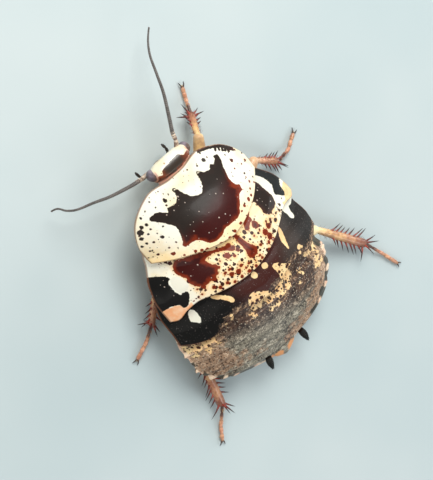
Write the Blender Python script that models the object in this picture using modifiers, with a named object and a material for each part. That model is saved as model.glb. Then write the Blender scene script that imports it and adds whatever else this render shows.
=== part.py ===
"""Porcelain roach, large wingless nymph, life size, standing still.

Frame: metres, +Z up, floor at z = 0, head toward -Y, the animal's left side toward +X.
All sizes below are millimetres; MM turns them into metres when a mesh is made.
"""
import math
import random

import bmesh
import bpy
from mathutils import Matrix, Vector

MM = 0.001
GAP = 0.3
SHEET = 0.55
CORE_DEPTH = SHEET * 2 + GAP * 3
SEED = 7

# Stations along the body: (y, value). The dome is the smooth upper surface of the whole back.
MARGIN_HEIGHT = [(0.5, 6.0), (1.5, 5.8), (3.0, 5.5), (7.0, 5.6), (11.5, 6.0), (16.0, 5.8), (19.0, 5.2),
                 (21.0, 4.7), (23.0, 4.1), (25.0, 3.6), (28.4, 3.2)]
CREST_HEIGHT = [(0.1, 6.1), (1.4, 6.6), (2.6, 7.8), (4.2, 9.2), (6.5, 10.25), (9.2, 10.8), (13.8, 11.2),
                (17.8, 10.5), (21.0, 9.2), (24.0, 7.4), (26.5, 5.4), (28.4, 3.7)]
SIDE_HALF_WIDTH = [(7.0, 8.7), (8.5, 9.7), (10.5, 10.7), (13.0, 11.0), (16.0, 11.25), (19.0, 11.3)]
BELLY_HEIGHT = [(1.5, 4.3), (3.0, 3.9), (16.5, 3.9), (18.5, 3.5), (20.0, 2.8), (21.5, 2.4), (24.0, 2.2),
                (28.0, 2.5)]
ARCH_POWER = 2.3
SHIELD_FRONT, SHIELD_WIDEST, SHIELD_HALF_WIDTH, SHIELD_POWER = 0.1, 7.0, 8.7, 2.5
COLLAR_DEPTH, COLLAR_SPAN = 0.68, (0.8, 4.2)
TAIL_START, TAIL_END, TAIL_POWER, TAIL_ROUND = 19.0, 28.6, 3.0, 0.7

# Hind edges of the three thorax plates in their own straight frames: (distance from midline, y).
PRONOTUM_HIND = [(0.0, 9.45), (1.5, 9.2), (3.2, 8.75), (4.7, 8.3), (6.8, 7.6), (8.6, 6.9)]
MESONOTUM_HIND = [(0.0, 14.1), (1.5, 13.95), (3.7, 13.55), (6.0, 12.9), (7.6, 12.5), (8.9, 12.7),
                  (10.2, 13.2), (11.0, 12.9)]
METANOTUM_HIND = [(0.0, 18.1), (2.5, 17.5), (4.2, 17.1), (5.6, 17.3), (8.2, 18.2), (9.6, 17.9),
                  (11.1, 17.2)]
MESONOTUM_FRONT = [(0.0, 8.2), (4.0, 7.0), (8.0, 5.2), (9.0, 4.9)]
METANOTUM_FRONT = [(0.0, 12.8), (6.0, 11.8), (11.1, 11.35)]
MESONOTUM_HALF_WIDTH = [(4.9, 7.5), (6.4, 8.3), (7.6, 9.2), (8.7, 10.05), (10.5, 10.8), (13.2, 11.0)]
METANOTUM_HALF_WIDTH = [(10.5, 10.3), (13.0, 10.95), (15.0, 11.2), (18.2, 11.25)]
PLATE_STEP, PLATE_RISE = 1.0, (0.38, 0.68)

# Hind borders of the abdomen rings: y on the midline and how far the sides lie ahead of it.
RING_BORDERS = [(16.9, 0.0), (19.5, -0.2), (21.2, 0.1), (22.7, 0.3), (24.1, 0.5), (25.4, 0.7), (26.5, 0.9)]
RING_STEP, FIRST_RING_STEP = 0.35, 1.0
RING_SECTIONS = ((0.0, RING_STEP), (0.5, RING_STEP * 0.45), (1.0, 0.0))
FIRST_RING_MIDDLE, FIRST_RING_NARROWING = 1.6, 0.94

# Last ring under the tail and the plate that roofs it: shares of the length, then sizes.
TIP_SECTIONS = (0.0, 0.35, 0.65, 0.88, 1.0)
TIP_HEIGHT, TIP_FALL, TIP_SHEET, TIP_INSET, TIP_END_HALF_WIDTH = 3.35, 0.35, 0.5, 0.15, 0.7
ROOF_SECTIONS = (0.0, 0.4, 0.75, 1.0)
ROOF_LENGTH, ROOF_HALF_WIDTH, ROOF_TAPER, ROOF_SHEET = 1.75, 1.75, 0.45, 0.35
ROOF_HEIGHT, ROOF_FALL, ROOF_CAMBER, ROOF_BOTTOM, ROOF_BOTTOM_FALL = 5.0, 1.15, 0.35, 3.78, 0.32

# Solid bodies of the thorax rings under the plates: first y, last y, share of the back's width.
THORAX_CORES = {
    "prothorax": (2.6, 4.9, 0.5),
    "mesothorax": (5.2, 10.6, 0.62),
    "metathorax": (10.9, 16.5, 0.68),
}

# Turning of each piece about the vertical, as the living animal holds itself: degrees, pivot y.
HEAD_TURN = (4.0, -2.8)
PRONOTUM_TURN = (4.0, 7.0)
MESONOTUM_TURN = (8.0, 11.5)
METANOTUM_TURN = (3.0, 15.5)

# Head capsule rings from mouth to crown: z, half width, half depth, y of the middle.
HEAD_RINGS = [(1.75, 1.0, 0.55, 0.4), (2.1, 1.35, 0.75, 0.35), (2.8, 1.88, 0.95, 0.27),
              (3.6, 2.35, 1.05, 0.1), (4.4, 2.68, 1.15, -0.08), (5.0, 2.76, 1.08, -0.26),
              (5.5, 2.6, 0.86, -0.38), (5.9, 2.22, 0.64, -0.2), (6.15, 1.45, 0.4, 0.02)]
HEAD_SQUARENESS = 3.4
HEAD_SIDES = 24
NECK, NECK_RADII = [(0.0, 1.42, 4.5), (0.0, 2.28, 4.6)], [0.8, 0.85]
EYE_CENTRE = (2.5, -0.45, 4.75)
EYE_RADII = (0.72, 0.76, 0.95)

# Upper lip, jaws and lower lip: middle, radii and look.
MOUTH_PIECES = {
    "labrum": ((0.0, -0.14, 1.02), (0.62, 0.2, 0.42), "amber"),
    "mandible_left": ((0.53, 0.5, 1.02), (0.38, 0.2, 0.42), "dark_brown"),
    "mandible_right": ((-0.53, 0.5, 1.02), (0.38, 0.2, 0.42), "dark_brown"),
    "labium": ((0.0, 1.15, 1.0), (0.75, 0.2, 0.42), "belly"),
}

# Joints of the legs: coxa root, coxa end, knee, ankle, then the foot's middle and tip.
LEG_JOINTS = {
    "front_right": [(-1.5, 3.7, 2.85), (-3.7, 3.8, 2.5), (-5.3, -0.25, 3.65), (-7.03, -2.59, 1.1),
                    (-7.7, -4.0, 0.42), (-8.18, -5.37, 0.3)],
    "front_left": [(1.5, 2.4, 2.85), (2.4, 4.5, 2.6), (6.5, 4.6, 3.9), (5.5, 7.7, 1.1),
                   (5.8, 8.9, 0.42), (6.4, 10.1, 0.3)],
    "middle_right": [(-1.6, 7.6, 2.85), (-4.2, 9.6, 2.5), (-10.05, 6.5, 2.8), (-13.45, 9.15, 1.1),
                     (-15.65, 8.95, 0.45), (-17.44, 7.76, 0.3)],
    "middle_left": [(1.5, 6.2, 2.85), (3.4, 8.7, 2.5), (8.57, 10.94, 3.0), (11.65, 15.39, 1.1),
                    (13.13, 16.81, 0.45), (15.08, 17.83, 0.3)],
    "hind_right": [(-1.7, 13.4, 2.85), (-5.0, 16.6, 2.5), (-12.15, 18.57, 2.9), (-17.9, 25.43, 1.1),
                   (-19.5, 28.3, 0.45), (-20.71, 30.83, 0.3)],
    "hind_left": [(1.7, 13.0, 2.85), (4.3, 16.0, 2.5), (9.0, 20.57, 2.65), (9.91, 29.5, 1.1),
                  (11.3, 31.7, 0.45), (12.17, 33.46, 0.3)],
}
KNEE_RADIUS, FRONT_FEMUR_SLIM = 0.58, 0.85
COXA_SHAPE = [(0.0, 0.85, 0.6), (0.3, 1.25, 0.72), (0.7, 1.0, 0.66), (1.0, 0.62, 0.57)]
FEMUR_ROOT = [(0.0, 0.45, 0.42), (0.12, 0.62, 0.55)]
FEMUR_BELLY = [(0.35, 0.98, 0.78), (0.65, 0.9, 0.72)]
TIBIA_SHAPE = [(0.0, 0.36, 0.36), (0.2, 0.45, 0.42), (0.6, 0.5, 0.46), (1.0, 0.46, 0.46)]
HIND_TIBIA_WIDTH = 1.3
TARSUS_RADIUS, TARSUS_JOINTS = 0.3, 5
TARSUS_SWELLING = ((0.08, 0.8), (0.75, 1.08))
CLAW_REACH, CLAW_SPREAD, CLAW_RADIUS, CLAW_HEIGHT = 0.85, 0.42, 0.19, 0.2
SPINE_RADIUS, SPINE_LENGTH, SPUR_LENGTH = 0.27, 1.75, 2.0
SPUR_CLEARANCE, ANKLE_SPACE, KNEE_SPACE = 0.8, 0.37, 0.4
SPINE_ROWS = {"front": 3, "middle": 4, "hind": 7}
SPINE_START, SPINE_RUN, SPINE_STAGGER, SPINE_LEAN = 0.16, 0.66, 0.03, 0.75
SPUR_TURNS = (-78, -28, 28, 78, 150, 210)
SPUR_LIFT, SPUR_LEAN, SPUR_BACK, SPUR_SHORT = 0.55, 1.15, 0.35, 0.62
LOWEST_TIP = 0.25
FLOOR_FLAT = 0.06

# Feeler routes after the two thick base pieces, from the base outward.
FEELER_RIGHT = [(-2.43, -3.3, 5.3), (-3.07, -4.89, 5.3), (-4.1, -7.3, 5.0), (-4.8, -9.37, 4.5),
                (-5.58, -11.42, 3.8), (-6.55, -12.79, 3.2), (-7.73, -13.86, 2.6)]
FEELER_LEFT = [(4.62, -0.92, 5.25), (5.96, -1.12, 5.3), (8.02, -1.49, 5.2), (9.83, -1.96, 4.8),
               (11.64, -2.32, 4.2), (12.59, -2.79, 3.6), (13.21, -3.47, 3.0), (13.9, -3.56, 2.5)]
SCAPE_RIGHT = [(-1.95, -1.88, 4.85), (-2.2, -2.4, 5.08), (-2.33, -2.85, 5.2)]
SCAPE_LEFT = [(3.0, -0.35, 3.42), (3.6, -0.55, 4.0), (4.1, -0.8, 4.85)]
SCAPE_RADII, FEELER_RADII, PALP_RADII = [0.34, 0.38, 0.3], [0.27, 0.13], [0.26, 0.27, 0.3, 0.2]
PALP_RIGHT = [(-1.4, 0.1, 1.15), (-1.85, -0.4, 1.3), (-1.8, -1.05, 1.85), (-1.43, -1.93, 2.4)]
PALP_LEFT = [(1.4, 0.35, 1.15), (2.1, 0.25, 1.3), (2.75, -0.2, 1.85), (3.14, -1.13, 2.4)]
CERCUS_LEFT = [(2.55, 26.85, 4.45), (2.6, 27.9, 4.1), (2.5, 28.95, 3.5)]
CERCUS_RIGHT = [(-2.9, 26.95, 4.35), (-3.15, 28.0, 4.0), (-3.4, 29.2, 3.4)]
CERCUS_RADII = [0.416, 0.52, 0.14]

COLOURS = {
    "cream": ((0.80, 0.70, 0.48), 0.30),
    "dark_brown": ((0.045, 0.014, 0.009), 0.28),
    "amber": ((0.42, 0.19, 0.075), 0.38),
    "grey_brown": ((0.17, 0.135, 0.10), 0.42),
    "belly": ((0.30, 0.17, 0.085), 0.40),
    "eye": ((0.10, 0.085, 0.11), 0.22),
    "feeler": ((0.085, 0.06, 0.05), 0.5),
}


def clear_scene():
    for item in list(bpy.data.objects):
        bpy.data.objects.remove(item, do_unlink=True)


def finish(node_name, look):
    colour, roughness = COLOURS[look]
    material = bpy.data.materials.new(node_name + "_finish")
    material.use_nodes = True
    shader = material.node_tree.nodes["Principled BSDF"]
    shader.inputs["Base Color"].default_value = (*colour, 1.0)
    shader.inputs["Roughness"].default_value = roughness
    shader.inputs["Metallic"].default_value = 0.0
    return material


def smooth_through(stations, along):
    """Height of the smooth monotone curve through the stations."""
    xs = [station[0] for station in stations]
    values = [station[1] for station in stations]
    if along <= xs[0]:
        return values[0]
    if along >= xs[-1]:
        return values[-1]
    slopes = [(values[i + 1] - values[i]) / (xs[i + 1] - xs[i]) for i in range(len(xs) - 1)]
    tangents = [slopes[0]]
    for before, after in zip(slopes, slopes[1:]):
        tangents.append(0.0 if before * after <= 0 else 2 * before * after / (before + after))
    tangents.append(slopes[-1])
    i = max(k for k in range(len(xs) - 1) if xs[k] <= along)
    span = xs[i + 1] - xs[i]
    s = (along - xs[i]) / span
    return ((2 * s**3 - 3 * s**2 + 1) * values[i] + (s**3 - 2 * s**2 + s) * span * tangents[i]
            + (3 * s**2 - 2 * s**3) * values[i + 1] + (s**3 - s**2) * span * tangents[i + 1])


def half_width(y):
    """Half the width of the back at y: shield, straight flanks, rounded tail."""
    if y < SHIELD_WIDEST:
        ahead = min(1.0, (SHIELD_WIDEST - y) / (SHIELD_WIDEST - SHIELD_FRONT))
        return SHIELD_HALF_WIDTH * max(0.0, 1 - ahead**SHIELD_POWER) ** (1 / SHIELD_POWER)
    if y < TAIL_START:
        return smooth_through(SIDE_HALF_WIDTH, y)
    back = min(1.0, (y - TAIL_START) / (TAIL_END - TAIL_START))
    return SIDE_HALF_WIDTH[-1][1] * max(0.0, 1 - back**TAIL_POWER) ** TAIL_ROUND


def dome(x, y):
    """Height of the back's smooth upper surface."""
    across = min(1.15, abs(x) / max(half_width(y), 0.3))
    margin = smooth_through(MARGIN_HEIGHT, y)
    crest = smooth_through(CREST_HEIGHT, y)
    return margin + (crest - margin) * (1 - across**ARCH_POWER)


def under_dome(x, y, depth):
    """Height of the surface that lies depth below the dome, measured square to it."""
    step = 0.1
    slope_x = (dome(x + step, y) - dome(x - step, y)) / (2 * step)
    slope_y = (dome(x, y + step) - dome(x, y - step)) / (2 * step)
    steepness = min(1.45, math.sqrt(1 + slope_x**2 + slope_y**2))
    return dome(x, y) - depth * steepness


def turned(point, turn):
    """Point turned about the vertical through (0, pivot)."""
    angle, pivot = math.radians(turn[0]), turn[1]
    x, y = point[0], point[1] - pivot
    cos, sin = math.cos(angle), math.sin(angle)
    return (cos * x - sin * y, sin * x + cos * y + pivot, *point[2:])


def new_object(node_name, mesh, look, parts, smooth_angle=40):
    mesh.shade_smooth()
    mesh.set_sharp_from_angle(angle=math.radians(smooth_angle))
    item = bpy.data.objects.new(node_name, mesh)
    parts.objects.link(item)
    mesh.materials.clear()
    mesh.materials.append(finish(node_name, look))
    return item


def mesh_from(shape, mesh_name):
    """Mesh in metres from a bmesh in millimetres, faces pointing out."""
    bmesh.ops.recalc_face_normals(shape, faces=shape.faces)
    bmesh.ops.scale(shape, vec=Vector((MM, MM, MM)), verts=shape.verts)
    mesh = bpy.data.meshes.new(mesh_name)
    shape.to_mesh(mesh)
    shape.free()
    return mesh


def loft(rings, mesh_name):
    """Closed mesh through rings of equal count, each end closed to its middle."""
    shape = bmesh.new()
    loops = [[shape.verts.new(point) for point in ring] for ring in rings]
    count = len(rings[0])
    for lower, upper in zip(loops, loops[1:]):
        for k in range(count):
            shape.faces.new((lower[k], lower[(k + 1) % count], upper[(k + 1) % count], upper[k]))
    for loop in (loops[0], loops[-1]):
        middle = shape.verts.new(sum((vert.co for vert in loop), Vector()) / count)
        for k in range(count):
            shape.faces.new((loop[k], loop[(k + 1) % count], middle))
    return mesh_from(shape, mesh_name)


def plate(node_name, hind, front, plate_half_width, turn, step, look, parts, columns=24, rows=8):
    """Curved back plate: an open sheet on the dome, its front sunk by step, thickened inward."""
    shape = bmesh.new()
    bmesh.ops.create_grid(shape, x_segments=columns, y_segments=rows, size=1.0)
    for vert in shape.verts:
        across = math.sin(vert.co.x * math.pi / 2)
        along = (vert.co.y + 1) / 2
        reach = abs(across) * hind[-1][0]
        y_front = front(reach)
        y = y_front + along * (smooth_through(hind, reach) - y_front)
        x = across * plate_half_width(y)
        x, y = turned((x, y), turn)
        rise = min(1.0, max(0.0, (along - PLATE_RISE[0]) / (PLATE_RISE[1] - PLATE_RISE[0])))
        vert.co = (x, y, under_dome(x, y, step * (1 - rise) ** 1.3))
    bmesh.ops.triangulate(shape, faces=shape.faces)
    item = new_object(node_name, mesh_from(shape, node_name), look, parts)
    make_solid = item.modifiers.new("thickness", "SOLIDIFY")
    make_solid.thickness = SHEET * MM
    make_solid.offset = -1.0
    return item


def shield_front_edge(reach):
    """Front edge of the shield, as far from the midline as reach."""
    across = min(1.0, reach / SHIELD_HALF_WIDTH)
    ahead = (SHIELD_WIDEST - SHIELD_FRONT) * (1 - across**SHIELD_POWER) ** (1 / SHIELD_POWER)
    past = min(1.0, max(0.0, (reach - COLLAR_SPAN[0]) / (COLLAR_SPAN[1] - COLLAR_SPAN[0])))
    return SHIELD_WIDEST - ahead + COLLAR_DEPTH * (1 - past**2 * (3 - 2 * past))


def belly(x, y, reach):
    """Height of the underside, flat in the middle and rising to the flanks."""
    middle = smooth_through(BELLY_HEIGHT, y)
    edge = smooth_through(MARGIN_HEIGHT, y) - 0.5
    across = min(1.0, abs(x) / max(reach, 0.3))
    return middle + max(0.0, edge - middle) * across**1.7


def body_ring(y, side_ahead, reach, depth, edge_thickness, columns):
    """Closed cross-section of the body: back over, belly under, the same x in both."""
    top, bottom = [], []
    for k in range(columns + 1):
        across = math.sin((k / columns - 0.5) * math.pi)
        x = across * reach
        here = y - side_ahead * across**2
        upper = under_dome(x, here, depth)
        lower = min(belly(x, here, half_width(here)), upper - edge_thickness)
        top.append((x, here, upper))
        bottom.append((x, here, lower))
    return top, bottom


def body_solid(sections, mesh_name):
    """Closed mesh through body rings, ends closed by strips from back to belly."""
    shape = bmesh.new()
    grids = []
    for top, bottom in sections:
        grids.append(([shape.verts.new(p) for p in top], [shape.verts.new(p) for p in bottom]))
    columns = len(grids[0][0]) - 1
    for (top_a, low_a), (top_b, low_b) in zip(grids, grids[1:]):
        for k in range(columns):
            shape.faces.new((top_a[k], top_a[k + 1], top_b[k + 1], top_b[k]))
            shape.faces.new((low_a[k], low_b[k], low_b[k + 1], low_a[k + 1]))
        shape.faces.new((top_a[0], top_b[0], low_b[0], low_a[0]))
        shape.faces.new((top_a[-1], low_a[-1], low_b[-1], top_b[-1]))
    for top, low in (grids[0], grids[-1]):
        for k in range(columns):
            shape.faces.new((top[k], low[k], low[k + 1], top[k + 1]))
    return mesh_from(shape, mesh_name)


def thorax_core(node_name, start, end, width_share, parts, columns=12, steps=4):
    """Solid body of one thorax ring, under the plates and over the legs."""
    sections = []
    for k in range(steps + 1):
        y = start + (end - start) * k / steps
        reach = half_width(y) * width_share
        sections.append(body_ring(y, 0.0, reach, CORE_DEPTH, 1.0, columns))
    return new_object(node_name, body_solid(sections, node_name), "belly", parts)


def abdomen_ring(number, parts, columns=18):
    """One ring of the abdomen; its back edge stands proud of the next one's front."""
    (start, start_ahead), (end, end_ahead) = RING_BORDERS[number - 1], RING_BORDERS[number]
    first = number == 1
    sections = []
    for share, depth in RING_SECTIONS:
        y = start + GAP / 2 + share * (end - start - GAP)
        ahead = start_ahead + share * (end_ahead - start_ahead)
        if first:
            depth = FIRST_RING_STEP if share < 1 else 0.0
            y = start + (0.0, FIRST_RING_MIDDLE, end - start - GAP / 2)[int(share * 2)]
        side_y = y - ahead
        narrowing = FIRST_RING_NARROWING if first and share < 1 else 1.0
        reach = half_width(side_y) * narrowing - depth * 0.5
        sections.append(body_ring(y, ahead, reach, depth, 0.5, columns))
    name = f"abdomen_{number}"
    return new_object(name, body_solid(sections, name), "grey_brown", parts)


def tail_pieces(parts, columns=14):
    """Last ring under the tail, and the small plate that roofs it."""
    start, ahead = RING_BORDERS[-1]
    sections = []
    for share in TIP_SECTIONS:
        y = start + GAP * 0.8 + share * (TAIL_END - 0.5 - start)
        side = ahead * (1 - share) ** 0.7
        reach = max(TIP_END_HALF_WIDTH, half_width(y - side) - TIP_INSET)
        top, bottom = body_ring(y, side, reach, 0.0, TIP_SHEET, columns)
        top = [(x, here, min(z, TIP_HEIGHT - TIP_FALL * share)) for x, here, z in top]
        sections.append((top, below(bottom, top, TIP_SHEET)))
    new_object("abdomen_tip", body_solid(sections, "abdomen_tip"), "grey_brown", parts)
    roof = []
    for share in ROOF_SECTIONS:
        y = start + GAP / 2 + 0.1 + share * ROOF_LENGTH
        reach = ROOF_HALF_WIDTH * (1 - ROOF_TAPER * share**2)
        top, bottom = [], []
        for k in range(7):
            across = k / 3 - 1
            here = y - 0.1 * across**2
            high = ROOF_HEIGHT - ROOF_FALL * share**1.2 - ROOF_CAMBER * across**2
            top.append((across * reach, here, high))
            bottom.append((across * reach, here, ROOF_BOTTOM - ROOF_BOTTOM_FALL * share))
        roof.append((top, below(bottom, top, ROOF_SHEET)))
    new_object("supra_anal_plate", body_solid(roof, "supra_anal_plate"), "grey_brown", parts)


def below(bottom, top, sheet):
    """The bottom points, each at least one sheet below its top point."""
    return [(x, y, min(z, high[2] - sheet)) for (x, y, z), high in zip(bottom, top)]


def frame_along(direction):
    """Two unit vectors square to direction, the first one level."""
    level = direction.cross(Vector((0, 0, 1)))
    if level.length < 0.05:
        level = direction.cross(Vector((0, 1, 0)))
    level.normalize()
    return level, level.cross(direction).normalized()


def limb_rings(path, radii, sides):
    """Rings along path; radii are (wide, thick) pairs, wide lying level."""
    rings = []
    for k, point in enumerate(path):
        before, after = path[max(0, k - 1)], path[min(len(path) - 1, k + 1)]
        level, up = frame_along((after - before).normalized())
        wide, thick = radii[k]
        rings.append([point + level * math.cos(a) * wide + up * math.sin(a) * thick
                      for a in (2 * math.pi * j / sides for j in range(sides))])
    return rings


def limb(start, end, profile, sides, node_name):
    """Rounded rod from start to end; profile is (share of length, wide, thick)."""
    path = [start.lerp(end, share) for share, _, _ in profile]
    rings = limb_rings(path, [(wide, thick) for _, wide, thick in profile], sides)
    return loft(rings, node_name)


def rounded(profile, length):
    """Profile with both ends closed by a small dome."""
    first, last = profile[0], profile[-1]
    start_inset = first[1] * 0.7 / length
    end_inset = last[1] * 0.7 / length
    start = [(0.0, first[1] * 0.45, first[2] * 0.45), (start_inset * 0.4, first[1] * 0.85, first[2] * 0.85)]
    end = [(1 - end_inset * 0.4, last[1] * 0.85, last[2] * 0.85), (1.0, last[1] * 0.45, last[2] * 0.45)]
    middle = [(start_inset + share * (1 - start_inset - end_inset), wide, thick)
              for share, wide, thick in profile]
    return start + middle + end


def cone_mesh(root, tip, radius, sides=5):
    """Tapered spine from root to tip."""
    shape = bmesh.new()
    axis = tip - root
    bmesh.ops.create_cone(shape, cap_ends=True, cap_tris=False, segments=sides, radius1=radius,
                          radius2=0.06, depth=axis.length)
    turn = axis.to_track_quat("Z", "X").to_matrix().to_4x4()
    place = Matrix.Translation((root + tip) / 2) @ turn
    bmesh.ops.transform(shape, matrix=place, verts=shape.verts)
    return mesh_from(shape, "spine")


def fuse(item, meshes):
    """Join the given closed meshes to item and keep its largest closed surface."""
    group = bpy.data.collections.new("fused_pieces")
    bpy.context.scene.collection.children.link(group)
    for mesh in meshes:
        group.objects.link(bpy.data.objects.new("fused_piece", mesh))
    union = item.modifiers.new("fused", "BOOLEAN")
    union.operation = "UNION"
    union.operand_type = "COLLECTION"
    union.collection = group
    union.solver = "MANIFOLD"
    bpy.context.view_layer.update()
    joined = bpy.data.meshes.new_from_object(item.evaluated_get(bpy.context.evaluated_depsgraph_get()))
    item.modifiers.remove(union)
    for piece in list(group.objects):
        bpy.data.objects.remove(piece, do_unlink=True)
    bpy.data.collections.remove(group)
    keep_largest_surface(joined)
    item.data = joined


def keep_largest_surface(mesh):
    shape = bmesh.new()
    shape.from_mesh(mesh)
    bmesh.ops.remove_doubles(shape, verts=shape.verts, dist=1e-6)
    left = set(shape.verts)
    islands = []
    while left:
        island, frontier = set(), [left.pop()]
        while frontier:
            vert = frontier.pop()
            island.add(vert)
            for edge in vert.link_edges:
                other = edge.other_vert(vert)
                if other in left:
                    left.remove(other)
                    frontier.append(other)
        islands.append(island)
    largest = max(islands, key=len)
    scraps = [vert for island in islands if island is not largest for vert in island]
    bmesh.ops.delete(shape, geom=scraps, context="VERTS")
    shape.to_mesh(mesh)
    shape.free()


def make_coxa_and_femur(leg, joints, parts):
    root, hip, knee = joints[0], joints[1], joints[2]
    length = (hip - root).length
    new_object(f"coxa_{leg}", limb(root, hip, rounded(COXA_SHAPE, length), 8, "coxa"), "belly", parts)
    out = (knee - hip).normalized()
    start = hip + out * (GAP + 0.35)
    end = knee + out * (KNEE_RADIUS * 0.7)
    slim = FRONT_FEMUR_SLIM if leg.startswith("front") else 1.0
    middle = [(share, wide * slim, thick * slim) for share, wide, thick in FEMUR_BELLY]
    femur_shape = rounded(FEMUR_ROOT + middle + [(1.0, KNEE_RADIUS, KNEE_RADIUS)], (end - start).length)
    new_object(f"femur_{leg}", limb(start, end, femur_shape, 8, "femur"), "amber", parts)


def tibia_spines(start, end, foot, rows, dice):
    """Spines in two rows along the shin and a crown of spurs at its end."""
    along = (end - start).normalized()
    level, up = frame_along(along)
    meshes = []
    for row in range(rows):
        share = SPINE_START + SPINE_RUN * (row + 0.5) / rows
        for side in (-1, 1):
            place = start.lerp(end, share + SPINE_STAGGER * side)
            lift = dice.uniform(-0.05, 0.35)
            away = (level * side + up * lift + along * SPINE_LEAN).normalized()
            length = SPINE_LENGTH * dice.uniform(0.8, 1.1) * (0.75 + 0.35 * share)
            meshes.append(spine_above_floor(place, away, length))
    for turn in SPUR_TURNS:
        angle = math.radians(turn)
        away = (up * math.cos(angle) * SPUR_LIFT + level * math.sin(angle) + along * SPUR_LEAN).normalized()
        if away.dot(foot) > SPUR_CLEARANCE:
            away = (away - foot * 0.75).normalized()
        length = SPUR_LENGTH * (SPUR_SHORT if abs(turn) > 90 else dice.uniform(0.85, 1.05))
        meshes.append(spine_above_floor(end - along * SPUR_BACK, away, length))
    return meshes


def spine_above_floor(place, away, length):
    """One spine, bent up where it would reach the floor."""
    tip = place + away * length
    tip.z = max(tip.z, LOWEST_TIP)
    return cone_mesh(place, tip, SPINE_RADIUS)


def make_tibia(leg, joints, parts, dice):
    knee, ankle = joints[2], joints[3]
    along = (ankle - knee).normalized()
    start = knee + along * (KNEE_RADIUS + KNEE_SPACE)
    end = ankle - along * ANKLE_SPACE
    widen = HIND_TIBIA_WIDTH if leg.startswith("hind") else 1.0
    shape = rounded([(s, w * widen, t * widen) for s, w, t in TIBIA_SHAPE], (end - start).length)
    item = new_object(f"tibia_{leg}", limb(start, end, shape, 8, "tibia"), "amber", parts)
    rows = SPINE_ROWS[leg.split("_")[0]]
    foot = (joints[4] - ankle).normalized()
    fuse(item, tibia_spines(start, end, foot, rows, dice))


def make_tarsus(leg, joints, parts):
    """Five-jointed foot lying on small flats, with two claws."""
    ankle, middle, tip = joints[3], joints[4], joints[5]
    start = ankle + (middle - ankle).normalized() * ANKLE_SPACE
    knots = [start, start.lerp(middle, 0.5), middle, middle.lerp(tip, 0.5), tip]
    path, radii = [], []
    for joint in range(TARSUS_JOINTS):
        for share, swell in TARSUS_SWELLING:
            s = (joint + share) / TARSUS_JOINTS * (len(knots) - 1)
            k = min(len(knots) - 2, int(s))
            point = knots[k].lerp(knots[k + 1], s - k)
            point.z = max(point.z, TARSUS_RADIUS * 0.9)
            path.append(point)
            radii.append((TARSUS_RADIUS * swell, TARSUS_RADIUS * swell))
    mesh = loft(limb_rings(path, radii, 6), "tarsus")
    item = new_object(f"tarsus_{leg}", mesh, "amber", parts)
    out = (tip - middle).normalized()
    level, _ = frame_along(out)
    claws = []
    for side in (-1, 1):
        root = path[-1] - out * 0.1
        end = root + out * CLAW_REACH + level * side * CLAW_SPREAD
        end.z = CLAW_HEIGHT
        claws.append(cone_mesh(root, end, CLAW_RADIUS))
    fuse(item, claws)
    for vert in item.data.vertices:
        if vert.co.z < FLOOR_FLAT * MM:
            vert.co.z = 0.0


def make_legs(parts):
    dice = random.Random(SEED)
    for leg, points in LEG_JOINTS.items():
        joints = [Vector(point) for point in points]
        make_coxa_and_femur(leg, joints, parts)
        make_tibia(leg, joints, parts, dice)
        make_tarsus(leg, joints, parts)


def ellipsoid(centre, radii, segments, rings):
    shape = bmesh.new()
    bmesh.ops.create_uvsphere(shape, u_segments=segments, v_segments=rings, radius=1.0)
    for vert in shape.verts:
        vert.co = Vector(turned([centre[i] + vert.co[i] * radii[i] for i in range(3)], HEAD_TURN))
    return mesh_from(shape, "ellipsoid")


def make_head(parts, cutters):
    rings = []
    for z, wide, deep, y in HEAD_RINGS:
        ring = []
        for k in range(HEAD_SIDES):
            angle = 2 * math.pi * k / HEAD_SIDES
            cos, sin = math.cos(angle), math.sin(angle)
            out = (abs(cos)**HEAD_SQUARENESS + abs(sin)**HEAD_SQUARENESS) ** (-1 / HEAD_SQUARENESS)
            ring.append(Vector(turned((wide * cos * out, y + deep * sin * out, z), HEAD_TURN)))
        rings.append(ring)
    head = new_object("head", loft(rings, "head"), "cream", parts)
    for side, name in ((1, "left"), (-1, "right")):
        centre = (side * EYE_CENTRE[0], EYE_CENTRE[1], EYE_CENTRE[2])
        new_object(f"eye_{name}", ellipsoid(centre, EYE_RADII, 12, 8), "eye", parts)
        roomy = tuple(radius + GAP * 1.1 for radius in EYE_RADII)
        socket = bpy.data.objects.new(f"socket_{name}", ellipsoid(centre, roomy, 16, 10))
        cutters.objects.link(socket)
        socket.hide_render = True
        socket.display_type = "WIRE"
        cut = head.modifiers.new(f"socket_{name}", "BOOLEAN")
        cut.operation = "DIFFERENCE"
        cut.object = socket
    make_mouth(parts)


def make_mouth(parts):
    """Upper lip, jaws and lower lip below the head capsule."""
    for name, (centre, radii, look) in MOUTH_PIECES.items():
        new_object(name, ellipsoid(centre, radii, 10, 6), look, parts)


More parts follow.
